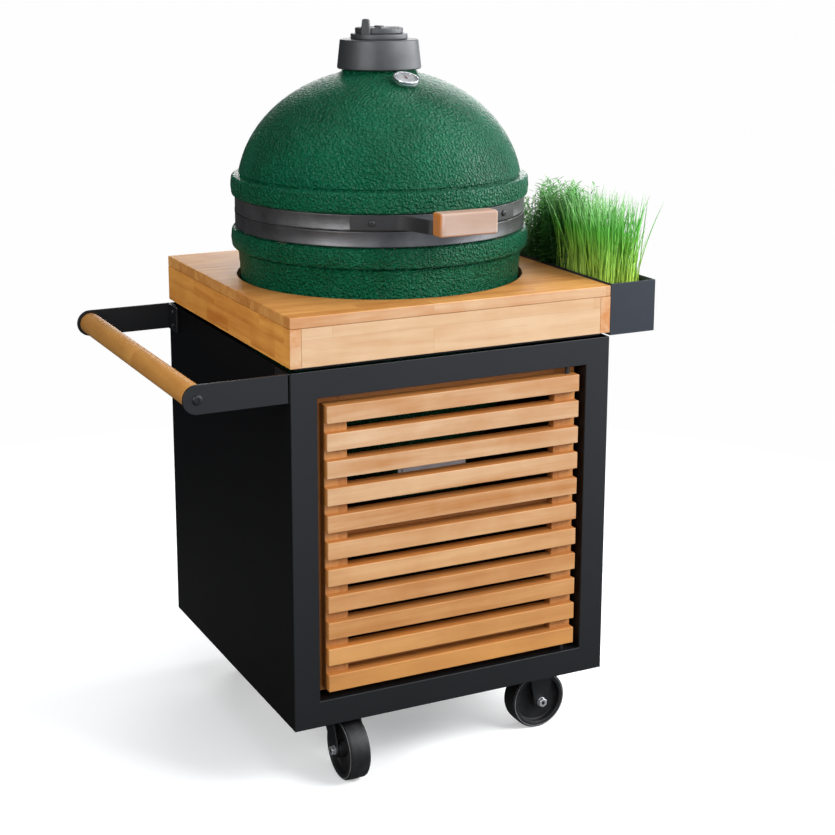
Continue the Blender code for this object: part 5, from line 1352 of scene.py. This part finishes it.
def pushBar():
    low, high, middle = span("push_bar")
    bar = {"radius": (high.z - low.z) / 2, "armRound": 0.0245, "plate": 0.005, "bolt": 0.0085}
    cabinetX = span("cabinet_left")[0].x
    dowel = rod("push_dowel", (middle.x, low.y, middle.z), (middle.x, high.y, middle.z), bar["radius"],
                0.003, 96)
    settled(dowel, finishes["barWood"], "cart", "bar_wood", "push_bar")
    for end, outward in (("front", -1), ("rear", 1)):
        node = f"push_arm_{end}"
        armLow, armHigh = span(node)[:2]
        outer = armLow.y if outward < 0 else armHigh.y
        near, far = sorted((outer, outer - outward * bar["plate"]))
        right = cabinetX - touching
        outline = arc((middle.x, middle.z), bar["armRound"], 90, 270, 32)
        outline += [(right, middle.z - bar["armRound"]), (right, middle.z + bar["armRound"])]
        arm = pressed("arm", outline, near, far, "XZ", 0.0008)
        foot = block("foot", (right - bar["plate"], armLow.y, armLow.z + 0.0003),
                     (right, armHigh.y, armHigh.z - 0.0003), 0.001)
        bolts = [panHead("bolt", (middle.x, outer - outward * 0.0004, middle.z), (0, outward, 0),
                         bar["bolt"], 0.0034)]
        footY = (armLow.y + armHigh.y) / 2 - outward * 0.008
        for z in (-0.013, 0.013):
            bolts.append(panHead("bolt", (right - bar["plate"], footY, middle.z + z), (-1, 0, 0), 0.0055,
                                 0.0035))
        settled(joined(f"bar_arm_{end}", [arm, foot, *bolts]), finishes["cabinet"], "cart", "dark_steel",
                node)


def slattedDoor():
    low, high, middle = span("door_slats")
    for index in range(slats["count"]):
        bottom = low.z + index * slats["pitch"]
        slat = block(f"door_slat_{index + 1:02d}", (low.x, low.y, bottom),
                     (high.x, high.y, bottom + slats["height"]), slats["edge"], 3)
        settled(slat, finishes["slatWood"], "door", "door_wood", *(["door_slats"] if index == 0 else []))
    for side, near, far in (("left", low.x, low.x + slats["stile"]),
                            ("right", high.x - slats["stile"], high.x)):
        stile = block(f"door_stile_{side}", (near + 0.0002, low.y + slats["recess"], low.z + 0.0002),
                      (far - 0.0002, high.y - 0.0003, high.z - 0.0002), 0.0009)
        settled(stile, finishes["stileWood"], "door", "door_wood")
    low, high, middle = span("door_back_frame")
    bar = slats["frameBar"]
    for name, a, b in (("left", low.x, low.x + bar), ("right", high.x - bar, high.x)):
        upright = block(f"door_back_upright_{name}", (a, low.y, low.z), (b, high.y, high.z), 0.0012)
        settled(upright, finishes["stileWood"], "door", "door_wood",
                *(["door_back_frame"] if name == "left" else []))
    for name, z in (("bottom", low.z), ("middle", middle.z - bar / 2), ("top", high.z - bar)):
        rail = block(f"door_back_rail_{name}", (low.x + bar, low.y, z), (high.x - bar, high.y, z + bar),
                     0.0012)
        settled(rail, finishes["slatWood"], "door", "door_wood")
    for end in ("lower", "upper"):
        a, b, centre = span(f"door_pin_{end}")
        pin = rod(f"door_pivot_{end}", (centre.x, centre.y, a.z), (centre.x, centre.y, b.z),
                  (b.x - a.x) / 2, 0.0008, 24)
        # painted shade: the bright steel pivot pins take the near-black bracket finish where they sit in the
        # dark gap at the door's edge
        settled(pin, finishes["bracket"], "door", "bright_steel", f"door_pin_{end}")


pushBar()
slattedDoor()
print("push bar and door fitted")


caster = {"height": 0.120, "tyre": 0.055, "half": 0.019, "hub": 0.014, "hubHalf": 0.0226, "axle": 0.006,
          "play": 0.0004, "inside": 0.0235, "leg": 0.0035, "legTopHalf": 0.0252, "plate": 0.003,
          "trail": 0.036, "plateLong": 0.0468, "plateWide": 0.041, "bridgeHalf": 0.0266, "overTyre": 0.0012}


def wheelSide():
    # half of the wheel's outline, from the bore over the web and rim to the tread
    tyre, half, hub, end = (caster[key] for key in ("tyre", "half", "hub", "hubHalf"))
    side = [(caster["axle"] + caster["play"], end), (hub - 0.0014, end), (hub, end - 0.0011),
            (hub + 0.0006, 0.0085), (0.0415, 0.0076), (0.0428, 0.0090), (0.0434, half - 0.0022)]
    side += arc((0.0450, half - 0.0016), 0.0016, 180, 90, 4)
    side += [(0.0496, half), (0.0499, half - 0.0008), (0.0504, half - 0.0010), (0.0507, half - 0.0003),
             (0.0512, half - 0.0003), (0.0515, half - 0.0011)]
    side += curved((0.0515, half - 0.0011), (tyre - 0.0002, half - 0.0012), (tyre - 0.0004, half - 0.0062), 6)
    side += [(tyre - 0.00005, half * 0.3)]
    return side


def rollingWheel(name, node, body, matrix):
    side = wheelSide()
    wheel = turned(name, side + [(r, -z) for r, z in side[::-1]], 144, ring=True)
    bore, end, half = caster["axle"] + caster["play"], caster["hubHalf"], caster["half"]
    hubCap = [(bore, end - 0.0005), (0.0105, end - 0.0005), (0.0105, end + 0.0003), (bore, end + 0.0003)]
    line = [(0.0502, half - 0.0012), (0.0512, half - 0.0012), (0.0511, half + 0.0001),
            (0.0503, half + 0.0001)]
    rings, lines = [], []
    for flip in (0, 180):
        turn = matrix @ Matrix.Rotation(math.radians(flip), 4, "X")
        rings.append(placed(turned("bearing", hubCap, 48, ring=True), turn))
        lines.append(placed(turned("rim_line", line, 96, ring=True), turn))
    settled(placed(wheel, matrix), finishes["rubber"], body, "tyre_rubber", node)
    settled(joined(name.replace("tyre", "bearing"), rings), finishes["zinc"], body, "bright_steel")
    settled(joined(name.replace("tyre", "rim_line"), lines), finishes["rimLine"], body, "tyre_rubber")


def axleBolt(name, node, body, matrix):
    half, head = caster["inside"] + caster["leg"] + touching, caster["axle"] * 1.2
    shank = rod("shank", (0, 0, -half - 0.001), (0, 0, half + 0.001), caster["axle"], 0.0005, 32)
    parts = [shank]
    for flip in (0, 180):
        bpy.ops.object.select_all(action="DESELECT")
        bpy.ops.mesh.primitive_cylinder_add(vertices=6, radius=caster["axle"] * 1.44, depth=head - 0.0012,
                                            location=(0, 0, half + head / 2 + 0.0006))
        hexagon = eased(bpy.context.object, 0.0008, 3)
        washer = turned("washer", [(caster["axle"], half + 0.0001), (0.0086, half + 0.0001),
                                   (0.0086, half + 0.0010), (caster["axle"], half + 0.0010)], 40, ring=True)
        tip = turned("tip", [(0, half + head - 0.002), (0.0042, half + head - 0.002),
                             (0.0042, half + head - 0.0002), (0.0034, half + head), (0, half + head)], 24)
        parts.append(placed(joined("nut", [hexagon, washer, tip]),
                            Matrix.Rotation(math.radians(flip), 4, "X")))
    settled(placed(joined(name, parts), matrix), finishes["zinc"], body, "bright_steel", node)


def forkPieces(top, offset):
    # two tapered legs
    axleZ, half = caster["tyre"] - caster["height"], caster["legTopHalf"]
    foot = arc((0, axleZ), caster["hub"], *forkArc(offset, top, axleZ), 24)
    shape = [(offset - half, top)] + foot + [(offset + half, top)]
    legs = []
    for side in (-1, 1):
        near, far = sorted((side * caster["inside"], side * (caster["inside"] + caster["leg"])))
        legs.append(pressed("leg", shape, near, far, "XZ", 0.0008))
    return legs


def forkArc(offset, top, axleZ):
    # where the straight sides of a leg touch its round foot, left then right, in degrees
    touches = []
    for side in (1, -1):
        away = Vector((offset - side * caster["legTopHalf"], top - axleZ))
        spread = math.acos(caster["hub"] / away.length)
        touches.append(math.degrees(math.atan2(away.y, away.x)) + side * math.degrees(spread))
    return touches[0], touches[1] + 360


def casterAt(kind, row):
    swivels = kind == "swivel"
    name = f"{kind}_{row}"
    top = span(f"{name}_plate" if swivels else f"{name}_bracket")
    where = Matrix.Translation((top[2].x, top[2].y, caster["height"]))
    if swivels:
        where = where @ Matrix.Rotation(math.radians(90), 4, "Z")
    offset = -caster["trail"] if swivels else 0.0
    axleZ = caster["tyre"] - caster["height"]
    long, wide, bridge = caster["plateLong"], caster["plateWide"], caster["bridgeHalf"]
    plateLow = -touching - caster["plate"]
    plate = block("plate", (-long, -wide, plateLow), (long, wide, -touching), 0.0009)
    bolts = []
    for x in (-long + 0.011, long - 0.011):
        for y in (-wide + 0.008, wide - 0.008):
            bolts.append(panHead("bolt", (x, y, plateLow + touching), (0, 0, -1), 0.0052, 0.0034))
    body = "cart"
    if swivels:
        settled(placed(joined(f"{name}_top_plate", [plate, *bolts]), where), finishes["cabinet"], "cart",
                "dark_steel", f"{name}_plate")
        raceTop, low = plateLow - touching, axleZ + caster["tyre"] + caster["overTyre"]
        outline = [(0, low), (0.0240, low), (0.0250, low + 0.001), (0.0268, raceTop - 0.0021),
                   (0.0262, raceTop - 0.0004), (0.0240, raceTop), (0, raceTop)]
        parts = [turned("race", outline, 72)]
        across = caster["inside"] + caster["leg"]
        parts.append(block("bridge", (-bridge, -across, low), (bridge, across, raceTop - 0.0018), 0.001))
        body = name
        slide = Matrix.Translation((offset, 0, 0))
        parts += [placed(leg, slide) for leg in forkPieces(raceTop - 0.0021, -offset)]
        settled(placed(joined(f"{name}_yoke", parts), where), finishes["cabinet"], body, "dark_steel",
                f"{name}_fork")
    else:
        parts = [plate, *bolts, *forkPieces(plateLow + 0.0015, 0.0)]
        settled(placed(joined(f"{name}_yoke", parts), where), finishes["cabinet"], body, "dark_steel",
                f"{name}_bracket")
    axle = where @ Matrix.Translation((offset, 0, axleZ)) @ Matrix.Rotation(math.radians(-90), 4, "X")
    axleBolt(f"{name}_bolt", f"{name}_axle", body, axle)
    rollingWheel(f"{name}_tyre", f"{name}_wheel", f"{name}_roller", axle)


for kind in ("fixed", "swivel"):
    for row in ("front", "rear"):
        casterAt(kind, row)
print("casters fitted")
